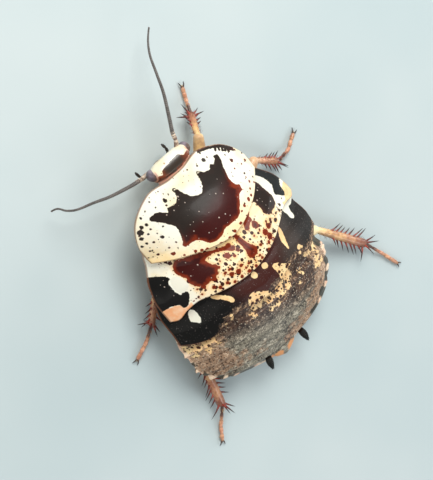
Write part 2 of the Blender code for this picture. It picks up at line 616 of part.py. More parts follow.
def tapered_tube(node_name, points, radii, look, parts, sides_resolution=1, spacing=None):
    """Curve tube through the points, its radius going from first to last of radii."""
    knots = [Vector(point) for point in points]
    path = route(knots, spacing) if spacing else knots
    data = bpy.data.curves.new(node_name, "CURVE")
    data.dimensions = "3D"
    data.bevel_depth = MM
    data.bevel_resolution = sides_resolution
    data.use_fill_caps = True
    spline = data.splines.new("POLY")
    spline.points.add(len(path) - 1)
    for k, point in enumerate(path):
        share = k / (len(path) - 1)
        spline.points[k].co = (*(point * MM), 1.0)
        place = share * (len(radii) - 1)
        low = min(int(place), len(radii) - 2)
        spline.points[k].radius = radii[low] + (radii[low + 1] - radii[low]) * (place - low)
    item = bpy.data.objects.new(node_name, data)
    bpy.context.scene.collection.objects.link(item)
    bpy.context.view_layer.update()
    mesh = bpy.data.meshes.new_from_object(item.evaluated_get(bpy.context.evaluated_depsgraph_get()))
    bpy.data.objects.remove(item, do_unlink=True)
    shape = bmesh.new()
    shape.from_mesh(mesh)
    bmesh.ops.remove_doubles(shape, verts=shape.verts, dist=1e-6)
    bmesh.ops.recalc_face_normals(shape, faces=shape.faces)
    shape.to_mesh(mesh)
    shape.free()
    return new_object(node_name, mesh, look, parts)


def route(knots, spacing):
    """Points about spacing apart on the smooth curve through the knots."""
    points = []
    for k in range(len(knots) - 1):
        before = knots[max(0, k - 1)]
        a, b = knots[k], knots[k + 1]
        after = knots[min(len(knots) - 1, k + 2)]
        steps = max(1, round((b - a).length / spacing))
        for step in range(steps):
            t = step / steps
            points.append(0.5 * (2 * a + (b - before) * t + (2 * before - 5 * a + 4 * b - after) * t**2
                                 + (3 * a - before - 3 * b + after) * t**3))
    points.append(knots[-1])
    return points


def make_feelers(parts):
    for side, scape, feeler, palp in (("right", SCAPE_RIGHT, FEELER_RIGHT, PALP_RIGHT),
                                      ("left", SCAPE_LEFT, FEELER_LEFT, PALP_LEFT)):
        tapered_tube(f"antenna_base_{side}", scape, SCAPE_RADII, "cream", parts)
        tapered_tube(f"antenna_{side}", feeler, FEELER_RADII, "feeler", parts, spacing=0.8)
        tapered_tube(f"palp_{side}", palp, PALP_RADII, "amber", parts, spacing=0.7)


def make_cerci(parts):
    for side, points in (("left", CERCUS_LEFT), ("right", CERCUS_RIGHT)):
        tapered_tube(f"cercus_{side}", points, CERCUS_RADII, "dark_brown", parts, sides_resolution=2,
                     spacing=0.5)


def make_thorax(parts):
    plate("pronotum", PRONOTUM_HIND, shield_front_edge, lambda y: PRONOTUM_HIND[-1][0], PRONOTUM_TURN, 0.0,
          "cream", parts)
    plate("mesonotum", MESONOTUM_HIND, lambda reach: smooth_through(MESONOTUM_FRONT, reach),
          lambda y: smooth_through(MESONOTUM_HALF_WIDTH, y), MESONOTUM_TURN, PLATE_STEP, "cream", parts)
    plate("metanotum", METANOTUM_HIND, lambda reach: smooth_through(METANOTUM_FRONT, reach),
          lambda y: smooth_through(METANOTUM_HALF_WIDTH, y), METANOTUM_TURN, PLATE_STEP, "dark_brown", parts)
    for name, (start, end, width_share) in THORAX_CORES.items():
        thorax_core(name, start, end, width_share, parts)
    tapered_tube("neck", NECK, NECK_RADII, "belly", parts, sides_resolution=3)


def centre_on_floor(parts):
    """Parent everything to one empty that puts the box's bottom centre at the origin."""
    bpy.context.view_layer.update()
    graph = bpy.context.evaluated_depsgraph_get()
    corners = []
    for item in parts.objects:
        seen = item.evaluated_get(graph)
        corners += [seen.matrix_world @ Vector(corner) for corner in seen.bound_box]
    low = [min(corner[i] for corner in corners) for i in range(3)]
    high = [max(corner[i] for corner in corners) for i in range(3)]
    base = bpy.data.objects.new("base", None)
    base.location = (-(low[0] + high[0]) / 2, -(low[1] + high[1]) / 2, -low[2])
    parts.objects.link(base)
    for item in list(parts.objects):
        if item is not base:
            item.parent = base
    for cutter in bpy.data.collections["cutters"].objects:
        cutter.parent = base


def main():
    clear_scene()
    parts = bpy.data.collections.new("porcelain_roach")
    cutters = bpy.data.collections.new("cutters")
    for collection in (parts, cutters):
        bpy.context.scene.collection.children.link(collection)
    make_thorax(parts)
    for number in range(1, len(RING_BORDERS)):
        abdomen_ring(number, parts)
    tail_pieces(parts)
    make_head(parts, cutters)
    make_feelers(parts)
    make_cerci(parts)
    make_legs(parts)
    centre_on_floor(parts)


main()
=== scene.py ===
"""Looks of the porcelain roach nymph: cuticle, markings, eyes, feelers, legs, floor, light and camera.

Shapes are worked out in the animal's own millimetres (head toward -Y, left toward +X, floor at z = 0)
and moved into the frame by one offset, taken from the box of the left eye.
"""
import math
import random
from functools import partial

import bmesh
import bpy
import numpy as np
from mathutils import Matrix, Vector


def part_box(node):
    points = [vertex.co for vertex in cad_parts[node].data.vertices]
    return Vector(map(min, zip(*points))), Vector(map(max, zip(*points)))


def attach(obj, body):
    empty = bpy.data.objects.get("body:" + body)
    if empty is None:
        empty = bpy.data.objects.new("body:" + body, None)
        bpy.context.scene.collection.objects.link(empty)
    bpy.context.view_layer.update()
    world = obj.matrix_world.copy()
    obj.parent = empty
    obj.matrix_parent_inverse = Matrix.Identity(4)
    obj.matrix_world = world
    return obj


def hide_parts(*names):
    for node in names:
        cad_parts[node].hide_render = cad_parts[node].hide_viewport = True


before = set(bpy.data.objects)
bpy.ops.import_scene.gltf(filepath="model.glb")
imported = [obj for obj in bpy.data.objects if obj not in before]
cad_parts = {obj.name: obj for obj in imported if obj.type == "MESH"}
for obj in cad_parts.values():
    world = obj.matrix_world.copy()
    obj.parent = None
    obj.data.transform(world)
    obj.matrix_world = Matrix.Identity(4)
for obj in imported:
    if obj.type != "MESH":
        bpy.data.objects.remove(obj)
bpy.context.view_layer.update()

MM = 0.001
SEED = 11

# Stations along the body, as in the solids: (y, value).
MARGIN_HEIGHT = [
    (0.5, 6.0), (1.5, 5.8), (3.0, 5.5), (7.0, 5.6), (11.5, 6.0), (16.0, 5.8), (19.0, 5.2), (21.0, 4.7),
    (23.0, 4.1), (25.0, 3.6), (28.4, 3.2)]
CREST_HEIGHT = [
    (0.1, 6.1), (1.4, 6.6), (2.6, 7.8), (4.2, 9.2), (6.5, 10.25), (9.2, 10.8), (13.8, 11.2), (17.8, 10.5),
    (21.0, 9.2), (24.0, 7.4), (26.5, 5.4), (28.4, 3.7)]
SIDE_HALF_WIDTH = [(7.0, 8.7), (8.5, 9.7), (10.5, 10.7), (13.0, 11.0), (16.0, 11.25), (19.0, 11.3)]
BELLY_HEIGHT = [
    (1.5, 4.3), (3.0, 3.9), (16.5, 3.9), (18.5, 3.5), (20.0, 2.8), (21.5, 2.4), (24.0, 2.2), (28.0, 2.5)]
ARCH_POWER = 2.3
SHIELD_FRONT, SHIELD_WIDEST, SHIELD_HALF_WIDTH, SHIELD_POWER = 0.1, 7.0, 8.7, 2.5
COLLAR_DEPTH, COLLAR_SPAN = 0.68, (0.8, 4.2)
TAIL_START, TAIL_END, TAIL_POWER, TAIL_ROUND = 19.0, 28.6, 3.0, 0.7
PRONOTUM_HIND = [(0.0, 9.45), (1.5, 9.2), (3.2, 8.75), (4.7, 8.3), (6.8, 7.6), (8.6, 6.9)]
MESONOTUM_HIND = [
    (0.0, 14.1), (1.5, 13.95), (3.7, 13.55), (6.0, 12.9), (7.6, 12.5), (8.9, 12.7), (10.2, 13.2),
    (11.0, 12.9)]
METANOTUM_HIND = [(0.0, 18.1), (2.5, 17.5), (4.2, 17.1), (5.6, 17.3), (8.2, 18.2), (9.6, 17.9), (11.1, 17.2)]
MESONOTUM_FRONT = [(0.0, 8.2), (4.0, 7.0), (8.0, 5.2), (9.0, 4.9)]
METANOTUM_FRONT = [(0.0, 12.8), (6.0, 11.8), (11.1, 11.35)]
MESONOTUM_HALF_WIDTH = [(4.9, 7.5), (6.4, 8.3), (7.6, 9.2), (8.7, 10.05), (10.5, 10.8), (13.2, 11.0)]
METANOTUM_HALF_WIDTH = [(10.5, 10.3), (13.0, 10.95), (15.0, 11.2), (18.2, 11.25)]
RING_BORDERS = [(16.9, 0.0), (19.5, -0.2), (21.2, 0.1), (22.7, 0.3), (24.1, 0.5), (25.4, 0.7), (26.5, 0.9)]
HEAD_TURN = (4.0, -2.8)
PRONOTUM_TURN = (4.0, 7.0)
MESONOTUM_TURN = (8.0, 11.5)
METANOTUM_TURN = (3.0, 15.5)
HEAD_RINGS = [
    (1.75, 1.0, 0.55, 0.4), (2.1, 1.35, 0.75, 0.35), (2.8, 1.88, 0.95, 0.27), (3.6, 2.35, 1.05, 0.1),
    (4.4, 2.68, 1.15, -0.08), (5.0, 2.76, 1.08, -0.26), (5.5, 2.6, 0.86, -0.38), (5.9, 2.22, 0.64, -0.2),
    (6.15, 1.45, 0.4, 0.02)]
HEAD_SQUARENESS = 3.4
EYE_CENTRE, EYE_RADII = (2.5, -0.45, 4.75), (0.71, 0.75, 0.94)
LEG_JOINTS = {
    "front_right": [
        (-1.5, 3.7, 2.85), (-3.7, 3.8, 2.5), (-5.3, -0.25, 3.65), (-7.03, -2.59, 1.1), (-7.7, -4.0, 0.42),
        (-8.18, -5.37, 0.3)],
    "front_left": [
        (1.5, 2.4, 2.85), (2.4, 4.5, 2.6), (6.5, 4.6, 3.9), (5.5, 7.7, 1.1), (5.8, 8.9, 0.42),
        (6.4, 10.1, 0.3)],
    "middle_right": [
        (-1.6, 7.6, 2.85), (-4.2, 9.6, 2.5), (-10.05, 6.5, 2.8), (-13.45, 9.15, 1.1), (-15.65, 8.95, 0.45),
        (-17.44, 7.76, 0.3)],
    "middle_left": [
        (1.5, 6.2, 2.85), (3.4, 8.7, 2.5), (8.57, 10.94, 3.0), (11.65, 15.39, 1.1), (13.13, 16.81, 0.45),
        (15.08, 17.83, 0.3)],
    "hind_right": [
        (-1.7, 13.4, 2.85), (-5.0, 16.6, 2.5), (-12.15, 18.57, 2.9), (-17.9, 25.43, 1.1),
        (-19.5, 28.3, 0.45), (-20.71, 30.83, 0.3)],
    "hind_left": [
        (1.7, 13.0, 2.85), (4.3, 16.0, 2.5), (9.0, 20.57, 2.65), (9.91, 29.5, 1.1), (11.3, 31.7, 0.45),
        (12.17, 33.46, 0.3)],
}
FEELER_RIGHT = [
    (-2.43, -3.3, 5.3), (-3.07, -4.89, 5.3), (-4.1, -7.3, 5.0), (-4.8, -9.37, 4.5), (-5.58, -11.42, 3.8),
    (-6.55, -12.79, 3.2), (-7.73, -13.86, 2.6)]
FEELER_LEFT = [
    (4.62, -0.92, 5.25), (5.96, -1.12, 5.3), (8.02, -1.49, 5.2), (9.83, -1.96, 4.8), (11.64, -2.32, 4.2),
    (12.59, -2.79, 3.6), (13.21, -3.47, 3.0), (13.9, -3.56, 2.5)]
SCAPE_RIGHT = [(-1.75, -0.95, 4.7), (-2.1, -1.6, 5.0), (-2.26, -2.2, 5.15), (-2.33, -2.85, 5.2)]
SCAPE_LEFT = [(1.75, -0.5, 3.5), (3.0, -0.35, 3.42), (3.6, -0.55, 4.0), (4.1, -0.8, 4.85)]
PALP_RIGHT = [(-1.4, 0.1, 1.15), (-1.85, -0.4, 1.3), (-1.8, -1.05, 1.85), (-1.43, -1.93, 2.4)]
PALP_LEFT = [(1.4, 0.35, 1.15), (2.1, 0.25, 1.3), (2.75, -0.2, 1.85), (3.14, -1.13, 2.4)]
CERCUS_LEFT = [(2.55, 26.85, 4.45), (2.6, 27.9, 4.1), (2.5, 28.95, 3.5)]
CERCUS_RIGHT = [(-2.9, 26.95, 4.35), (-3.15, 28.0, 4.0), (-3.4, 29.2, 3.4)]

# Markings, as outlines in millimetres on each plate laid flat and straight: (x, y), and (x, y, radius).
BLOTCH = [
    (-5.5, 2.4), (-5.2, 2.15), (-4.9, 2.2), (-4.75, 2.5), (-4.1, 2.65), (-3.8, 2.5), (-3.2, 2.75),
    (-2.6, 2.6), (-2.2, 2.25), (-1.8, 2.3), (-1.3, 3.1), (-0.7, 3.5), (-0.2, 3.75), (0.4, 3.5), (0.85, 3.0),
    (1.1, 2.4), (1.15, 2.0), (1.5, 1.85), (1.75, 2.2), (2.1, 2.6), (2.7, 2.8), (3.3, 2.7), (3.6, 2.7),
    (3.9, 3.0), (4.4, 2.6), (4.9, 2.4), (5.5, 2.5), (5.7, 2.8), (5.2, 3.4), (4.75, 4.0), (4.4, 4.7),
    (4.5, 5.5), (4.8, 6.2), (5.1, 6.8), (4.9, 7.05), (4.3, 7.0), (3.7, 7.1), (3.25, 7.6), (2.8, 8.2),
    (2.1, 8.45), (1.6, 8.5), (1.0, 8.4), (0.5, 8.05), (-0.3, 8.1), (-1.2, 8.2), (-1.9, 8.1), (-2.5, 7.7),
    (-3.1, 7.2), (-3.7, 6.6), (-4.25, 6.6), (-4.6, 6.8), (-4.55, 6.4), (-4.65, 6.0), (-4.2, 5.5),
    (-4.05, 4.8), (-4.3, 4.3), (-4.6, 3.9), (-4.95, 3.4), (-5.3, 3.0)]
SHIELD_DOTS = [
    (-6.2, 3.9, 0.2), (-3.7, 1.75, 0.21), (3.1, 2.0, 0.2), (4.4, 2.0, 0.16), (6.1, 4.8, 0.22),
    (7.5, 6.3, 0.16), (6.4, 7.0, 0.2), (5.7, 7.7, 0.16), (4.6, 8.0, 0.19), (4.0, 8.3, 0.17),
    (3.5, 8.6, 0.24), (1.9, 9.1, 0.2), (0.7, 9.2, 0.22), (-0.3, 9.1, 0.25), (-1.4, 8.9, 0.2),
    (7.7, 5.6, 0.12), (7.6, 4.6, 0.14), (5.3, 3.9, 0.13), (5.4, 6.1, 0.15), (6.4, 2.9, 0.12),
    (5.5, 1.7, 0.12), (4.4, 1.2, 0.1), (2.3, 1.8, 0.1), (-6.1, 6.8, 0.15), (-7.3, 6.3, 0.12),
    (-7.0, 5.0, 0.13), (-7.9, 5.2, 0.12), (-6.5, 2.6, 0.12), (-5.7, 4.6, 0.12), (-4.2, 7.8, 0.22),
    (-3.2, 7.9, 0.2), (-2.5, 8.05, 0.15), (2.4, 9.1, 0.16), (8.0, 6.3, 0.12), (6.3, 2.0, 0.1),
    (6.3, 6.2, 0.11), (6.2, 4.2, 0.11), (-6.1, 6.2, 0.1), (-6.8, 3.2, 0.1), (-6.2, 3.0, 0.1),
    (8.2, 4.7, 0.12), (7.4, 3.3, 0.34), (6.9, 2.85, 0.2), (7.7, 3.9, 0.22), (6.9, 3.8, 0.16),
    (-5.4, 7.3, 0.14), (-4.9, 7.8, 0.13), (-6.6, 7.4, 0.12), (3.9, 1.6, 0.09), (-2.7, 1.5, 0.09),
    (-7.75, 3.6, 0.12)]
SHIELD_LINES = [
    [(-3.9, 0.7), (-4.6, 0.9), (-5.3, 1.2), (-6.0, 1.6), (-6.7, 2.15), (-7.15, 2.65), (-7.6, 3.3)],
    [(-6.0, 1.6), (-5.75, 1.95)], [(-6.35, 1.85), (-6.1, 2.2)], [(-6.7, 2.15), (-6.4, 2.5)],
    [(-7.0, 2.45), (-6.7, 2.75)], [(-7.25, 2.8), (-6.95, 3.05)]]
SHIELD_LINE_RADIUS = 0.19
SHIELD_RINGS = [(-2.0, 2.3, 0.13), (1.4, 1.95, 0.13)]
MESO_BLACK_LEFT = [
    (9.0, 7.6), (8.7, 7.8), (8.3, 8.0), (7.75, 8.6), (8.3, 8.95), (8.5, 9.6), (8.45, 10.3), (8.25, 10.7),
    (8.0, 10.45), (7.6, 10.75), (7.7, 11.1), (8.0, 11.6), (8.6, 12.1), (9.0, 12.2), (9.1, 11.6), (9.6, 11.4),
    (10.1, 11.3), (10.8, 11.5), (11.4, 11.5), (11.3, 10.0), (10.4, 8.4), (9.6, 7.6)]
MESO_BLACK_RIGHT = [
    (-7.4, 7.1), (-7.9, 7.6), (-8.6, 8.35), (-9.0, 9.2), (-8.85, 10.0), (-8.35, 10.45), (-8.1, 10.8),
    (-8.5, 11.3), (-9.1, 11.9), (-9.5, 11.8), (-9.8, 11.15), (-10.5, 10.9), (-11.4, 10.9), (-11.4, 9.0),
    (-10.0, 7.2), (-8.8, 6.4)]
MESO_RED_LEFT = [
    (6.1, 7.6), (5.5, 7.7), (4.6, 8.0), (3.4, 8.6), (2.4, 9.1), (1.4, 9.6), (0.7, 10.0), (0.4, 10.55),
    (0.85, 10.75), (1.5, 10.15), (2.1, 9.75), (3.0, 9.35), (3.75, 9.35), (3.8, 9.8), (3.4, 10.45),
    (3.3, 10.9), (3.7, 11.0), (3.9, 11.3), (4.35, 11.4), (4.5, 11.7), (5.15, 11.4), (5.7, 11.5), (6.1, 11.8),
    (6.3, 11.4), (6.7, 10.6), (6.85, 10.1), (6.75, 9.6), (6.9, 9.1), (7.0, 8.5), (6.7, 8.0)]
MESO_RED_RIGHT = [
    (-7.1, 7.5), (-7.5, 7.9), (-7.75, 8.6), (-7.65, 9.2), (-7.6, 9.9), (-7.6, 10.5), (-7.2, 11.1),
    (-6.6, 11.35), (-6.0, 11.3), (-5.35, 11.2), (-5.1, 10.6), (-5.2, 9.9), (-5.3, 9.2), (-4.85, 8.9),
    (-5.0, 8.4), (-5.8, 7.9), (-6.4, 7.4)]
MESO_CLUB = [
    (-0.7, 9.3), (-0.85, 10.2), (-0.9, 10.9), (-1.1, 11.5), (-1.4, 12.2), (-1.1, 12.75), (-0.4, 12.85),
    (0.1, 12.7), (0.15, 12.3), (-0.2, 11.6), (-0.3, 11.0), (-0.3, 10.2), (-0.4, 9.5)]
MESO_BAR = [
    (-4.0, 8.8), (-4.0, 9.2), (-3.5, 9.6), (-3.4, 10.0), (-2.75, 10.2), (-2.25, 10.5), (-1.95, 10.2),
    (-2.2, 9.7), (-2.5, 9.4), (-2.8, 9.45), (-3.4, 9.1)]
MESO_TOOTH = [
    (-5.0, 8.9), (-5.15, 9.3), (-5.0, 9.8), (-4.75, 10.3), (-4.6, 10.8), (-4.3, 11.0), (-3.9, 10.8),
    (-3.8, 10.5), (-3.3, 10.3), (-3.4, 9.9), (-3.8, 9.5), (-4.3, 9.0)]
MESO_BLOTS = [
    (-3.2, 10.6, 0.4), (-3.4, 12.0, 0.4), (-3.5, 12.75, 0.36), (-4.3, 11.9, 0.34), (1.8, 10.65, 0.36),
    (0.9, 10.1, 0.4), (1.2, 11.2, 0.17), (-1.0, 13.7, 0.2), (-0.9, 9.0, 0.2), (-2.1, 11.3, 0.14),
    (-1.9, 12.5, 0.17), (0.4, 11.0, 0.15), (-1.9, 8.9, 0.24), (-3.0, 11.4, 0.13), (-0.2, 13.3, 0.13),
    (1.2, 13.1, 0.17), (1.2, 13.6, 0.24), (0.1, 13.8, 0.2), (-6.9, 12.1, 0.15), (-6.2, 11.8, 0.13),
    (-5.5, 12.2, 0.2), (-5.0, 11.6, 0.24), (-4.4, 11.3, 0.22), (-8.4, 11.7, 0.12), (-7.5, 11.8, 0.12),
    (-3.6, 13.3, 0.2), (-2.4, 13.7, 0.2), (2.1, 12.7, 0.32), (4.8, 12.7, 0.22), (3.9, 12.8, 0.2),
    (5.3, 12.2, 0.14), (3.4, 11.8, 0.17), (2.8, 10.5, 0.12), (0.6, 12.9, 0.14), (-1.0, 13.3, 0.14),
    (2.9, 12.4, 0.26), (1.5, 12.4, 0.28), (2.7, 11.8, 0.18), (7.8, 12.1, 0.12), (6.7, 12.0, 0.12),
    (6.7, 11.2, 0.12), (7.2, 12.2, 0.1), (-2.9, 13.1, 0.22), (3.2, 13.3, 0.18), (2.2, 13.4, 0.16)]
MESO_OVAL_LEFT = [
    (7.8, 8.7), (7.2, 8.85), (6.95, 9.4), (7.0, 10.05), (7.3, 10.5), (7.75, 10.65), (8.2, 10.5), (8.4, 9.95),
    (8.2, 9.2)]
MESO_OVAL_RIGHT = [
    (-7.4, 7.4), (-7.9, 7.7), (-8.55, 8.4), (-8.95, 9.25), (-8.8, 9.95), (-8.35, 10.4), (-7.95, 10.35),
    (-7.75, 9.9), (-7.8, 9.2), (-7.85, 8.6), (-7.6, 8.0)]
MESO_ORANGE = [
    (10.8, 11.4), (10.0, 11.35), (9.55, 11.45), (9.15, 11.75), (9.05, 12.2), (8.5, 12.3), (8.1, 12.1),
    (8.2, 12.8), (9.0, 13.3), (10.3, 13.9), (11.4, 13.4), (11.5, 12.0)]
META_PALE_SPOTS = [(-1.3, 14.8, 0.38), (0.4, 14.8, 0.36)]
META_BAR_LEFT = [
    (5.7, 13.7), (4.9, 14.0), (4.35, 14.55), (4.1, 14.9), (4.0, 15.35), (4.3, 15.5), (4.75, 14.9),
    (5.5, 14.1)]
META_BAR_RIGHT = [
    (-5.95, 12.8), (-5.95, 13.5), (-5.75, 14.1), (-5.4, 14.7), (-5.0, 15.4), (-4.95, 14.8), (-5.0, 14.2),
    (-5.2, 13.8), (-5.5, 13.3)]
META_TOOTH_LEFT = [
    (8.3, 13.8), (7.9, 14.0), (7.85, 14.7), (8.0, 15.4), (8.35, 15.6), (8.6, 15.3), (8.9, 15.0), (8.7, 14.4)]
META_TOOTH_RIGHT = [
    (-8.8, 11.4), (-9.8, 11.7), (-10.9, 12.3), (-11.0, 12.9), (-10.0, 13.05), (-9.35, 12.9), (-9.1, 13.4),
    (-9.15, 14.0), (-8.75, 14.25), (-8.3, 13.75), (-8.25, 13.1), (-7.95, 12.4), (-7.7, 11.8)]
META_SPECKLED = [
    (-1.9, 15.4), (-2.6, 15.5), (-3.4, 16.3), (-4.2, 17.1), (-3.9, 17.9), (-3.0, 18.3), (-2.2, 18.0),
    (-2.0, 16.7)]
META_SPECKLED_LEFT = [
    (2.3, 16.2), (1.4, 16.4), (0.6, 17.0), (0.0, 17.5), (0.1, 18.6), (1.2, 18.6), (2.3, 18.2), (2.9, 17.2)]
META_FLECKS = [
    (-6.5, 16.5, 0.3), (-6.95, 16.85, 0.2), (-6.2, 17.1, 0.16), (5.2, 16.9, 0.16), (6.2, 17.5, 0.14)]

# Marks of the abdomen: cream patches (x, y, radius), and rim marks (side, y, half length).
ABDOMEN_PATCHES = [
    (1.2, 17.0, 0.8), (0.1, 18.4, 0.75), (-1.4, 19.1, 0.65), (1.3, 18.3, 0.5), (0.4, 19.8, 0.4),
    (-0.6, 20.0, 0.42), (-1.8, 18.4, 0.6), (-3.4, 18.0, 0.7), (-2.6, 19.0, 0.35), (2.2, 18.4, 0.4),
    (2.8, 19.0, 0.3), (-7.4, 18.2, 0.35), (-8.3, 17.5, 0.35), (-9.3, 18.8, 0.45), (-8.6, 19.7, 0.5),
    (-8.6, 20.6, 0.4), (-5.2, 19.0, 0.28), (-4.5, 20.0, 0.28), (10.6, 18.8, 0.5), (9.8, 19.1, 0.5),
    (8.8, 19.2, 0.45), (7.9, 18.9, 0.45), (7.6, 19.6, 0.3), (8.9, 20.1, 0.35), (10.2, 20.0, 0.35),
    (7.3, 18.3, 0.25), (5.8, 17.9, 0.22), (5.0, 17.9, 0.2), (-9.6, 18.6, 0.6), (-9.0, 19.6, 0.6),
    (-8.4, 18.6, 0.45), (-9.4, 20.6, 0.45), (-8.0, 20.3, 0.35)]
RIM_DARK = [
    (-1, 21.85, 0.65), (-1, 24.0, 0.6), (-1, 25.6, 0.45), (-1, 26.95, 0.4), (-1, 18.75, 0.55),
    (1, 23.55, 0.42), (1, 25.2, 0.4), (1, 26.3, 0.42), (1, 27.3, 0.38), (1, 21.1, 0.45)]
RIM_DEPTH_RIGHT, RIM_DEPTH_LEFT = (1.25, 0.65), (0.5, 0.2)
RIM_LOBES = [
    (-1, 20.0), (-1, 22.75), (-1, 24.9), (-1, 26.3), (-1, 27.35), (1, 19.6), (1, 22.3), (1, 24.4), (1, 25.8),
    (1, 26.85)]
LOBE_LENGTH = 0.3
TAIL_ORANGE = [(-1.05, 27.8, 0.8), (1.2, 27.95, 0.78)]

# Camera, solved from the animal's symmetric landmarks.
CAMERA_EYE = (41.887, -36.217, 132.35)
CAMERA_RIGHT = (-0.7397, 0.5095, 0.4395)
CAMERA_UP = (-0.6058, -0.7886, -0.1054)
CAMERA_BACK = (0.2929, -0.3442, 0.8920)
FOCAL_PIXELS, PICTURE_WIDTH, PICTURE_HEIGHT = 1207.7, 433, 480
LENS_CENTRE = (226.88, 255.10)
SENSOR_MM = 36.0

# Legs: (share of the length, half width, half thickness) along each segment.
COXA_SHAPE = [
    (0.0, 0.3, 0.3), (0.06, 0.8, 0.55), (0.35, 1.27, 0.74), (0.75, 1.0, 0.66), (0.96, 0.62, 0.55),
    (1.0, 0.3, 0.3)]
FEMUR_SHAPE = [
    (0.0, 0.2, 0.2), (0.04, 0.44, 0.42), (0.14, 0.66, 0.58), (0.36, 0.99, 0.80), (0.66, 0.90, 0.73),
    (0.93, 0.60, 0.60), (0.985, 0.42, 0.42), (1.0, 0.15, 0.15)]
TIBIA_SHAPE = [
    (0.0, 0.15, 0.15), (0.03, 0.32, 0.32), (0.2, 0.38, 0.38), (0.6, 0.44, 0.42), (0.94, 0.46, 0.45),
    (0.99, 0.34, 0.34), (1.0, 0.15, 0.15)]
HIND_TIBIA_WIDTH, FRONT_FEMUR_WIDTH = 1.3, 0.85
MIDDLE_RIGHT_ROSE = 0.7
SPINE_ROWS = {"front": 3, "middle": 4, "hind": 7}
SPINE_DICE = random.Random(7)  # the seed of the solids' spines
SPINE_LENGTH, SPINE_RADIUS, SPINE_LOWEST = 1.75, 0.155, 0.25
SPUR_LENGTH, UNDER_SPUR_SHARE, SPUR_TURNS = 2.0, 0.62, (-78, -28, 28, 78, 150, 210)
NEAR_FOOT = 0.8
SOCKET_RADII = [0.16, 0.21, 0.20, 0.15]
THORN_BEND = 0.06
FEELER_RINGS, LIMB_RINGS, JOINT_RINGS = 62, 34, 9
LIP_PALP = [(0.55, 1.05, 1.1), (0.95, 0.85, 0.8), (0.95, 0.5, 0.68)]

# Dark band over the crown as seen from the crown's height, in the head's own millimetres.
CROWN_BAND = [
    (-2.47, -0.45), (-1.97, -0.46), (-1.62, -0.28), (-1.37, -0.42), (-0.94, -0.82), (-0.2, -0.8),
    (0.76, -0.72), (1.43, -0.66), (1.73, -0.46), (1.85, -0.2), (2.03, -0.22), (2.53, -0.4), (3.23, -0.5),
    (3.58, -0.15), (2.63, 0.5), (1.42, 0.8), (-0.1, 0.88), (-1.72, 0.5), (-2.72, 0.15), (-2.77, -0.25)]
CROWN_HEIGHT = 6.2

UP = (0, 0, 1.0)
SIDES = ((1, "left"), (-1, "right"))
PAST_MARGIN, MOST_SLANT = 1.15, 1.45
PLATE_LIP, PLATE_THICKNESS, PLATE_SUNK = 0.2, 0.42, 0.72
ABDOMEN_END = (28.4, 0.25)
FLOOR_REACH = 3.0
EDGE_STEPS = 6

# Values that the points carry into the materials, and what a mark's value is far from it.
LIMB_VALUES = ("tip", "shade", "pale")
PLATE_MARKS = ("red", "black", "white", "orange", "patch")
PLATE_TONES = ("pepper", "dotted", "warm", "deep", "fade")
ABDOMEN_VALUES = ("rear", "cream", "flank", "rim_pale", "orange", "rim_dark", "under", "seam_shade")
OUTSIDE, OFF_BACK = -9.0, -2.0

CREAM_LIGHT, CREAM_WARM, PALE_WHITE = (0.90, 0.87, 0.74), (0.84, 0.72, 0.46), (0.80, 0.78, 0.66)
DARK_BROWN, MAROON, RED_BROWN = (0.019, 0.014, 0.011), (0.040, 0.003, 0.002), (0.19, 0.021, 0.004)
BLACK_BROWN, ORANGE, DOT_BROWN = (0.004, 0.0035, 0.003), (0.90, 0.42, 0.20), (0.045, 0.016, 0.010)
PATCH_CREAM, PATCH_YELLOW = (0.82, 0.52, 0.25), (0.86, 0.64, 0.34)
CROWN_BROWN, CROWN_RED = (0.030, 0.018, 0.010), (0.19, 0.036, 0.008)
HONEY, HALO_OCHRE, PALE_ORANGE = (0.88, 0.64, 0.30), (0.78, 0.40, 0.13), (0.92, 0.60, 0.38)
GLINT_GREY, SPECK_GLINT_TAN, RIM_BROWN = (0.20, 0.17, 0.16), (0.55, 0.45, 0.38), (0.20, 0.075, 0.035)
RIM_ROSE, RIM_CREAM, RIM_DOT = (0.84, 0.50, 0.34), (0.84, 0.66, 0.48), (0.25, 0.14, 0.09)
FLECK_DARK, FLECK_PALE, TAIL_OCHRE = (0.030, 0.020, 0.015), (0.60, 0.54, 0.42), (0.78, 0.34, 0.13)
RIM_BLACK, SEAM_SHADE_BROWN, HEM_ROSE = (0.026, 0.030, 0.024), (0.045, 0.032, 0.024), (0.66, 0.34, 0.24)
BELLY_BROWN, BELLY_TAN = (0.20, 0.10, 0.05), (0.38, 0.22, 0.11)
LEG_SHADE, LEG_PALE = (0.066, 0.021, 0.014), (0.92, 0.76, 0.46)
DARK_GROUND = ((0.045, 0.009, 0.006), (0.034, 0.014, 0.010))
FADED_TONES = ((0.020, 0.012, 0.010), (0.10, 0.062, 0.042), (0.42, 0.28, 0.17))
ABDOMEN_TONES = (
    ((0.016, 0.008, 0.007), (0.075, 0.042, 0.030), (0.34, 0.22, 0.14)),
    ((0.052, 0.047, 0.037), (0.215, 0.195, 0.148), (0.50, 0.46, 0.36)),
    ((0.085, 0.050, 0.032), (0.34, 0.215, 0.135), (0.66, 0.48, 0.33)))
SEE_IN_TINT, SEE_IN_DEPTH = (1.0, 0.6, 0.35), 0.35

# Lights: name, place, aim and size in millimetres, power, colour, share of shine.
LIGHTS = (
    ("key", (-95, -190, 235), (0, 8, 5), 190, 1.0, (1.0, 0.98, 0.94), 1.0),
    ("side", (-330, 40, 95), (0, 10, 3), 200, 0.35, (0.93, 0.98, 1.0), 0.4),
    ("fill", (240, -40, 160), (0, 8, 5), 200, 0.22, (1.0, 0.97, 0.92), 0.0),
    ("back", (-60, 260, 200), (0, 10, 3), 160, 0.3, (0.95, 0.98, 1.0), 1.0))
ROOM_COLOUR, ROOM_STRENGTH = (0.96, 0.98, 1.0, 1.0), 0.34


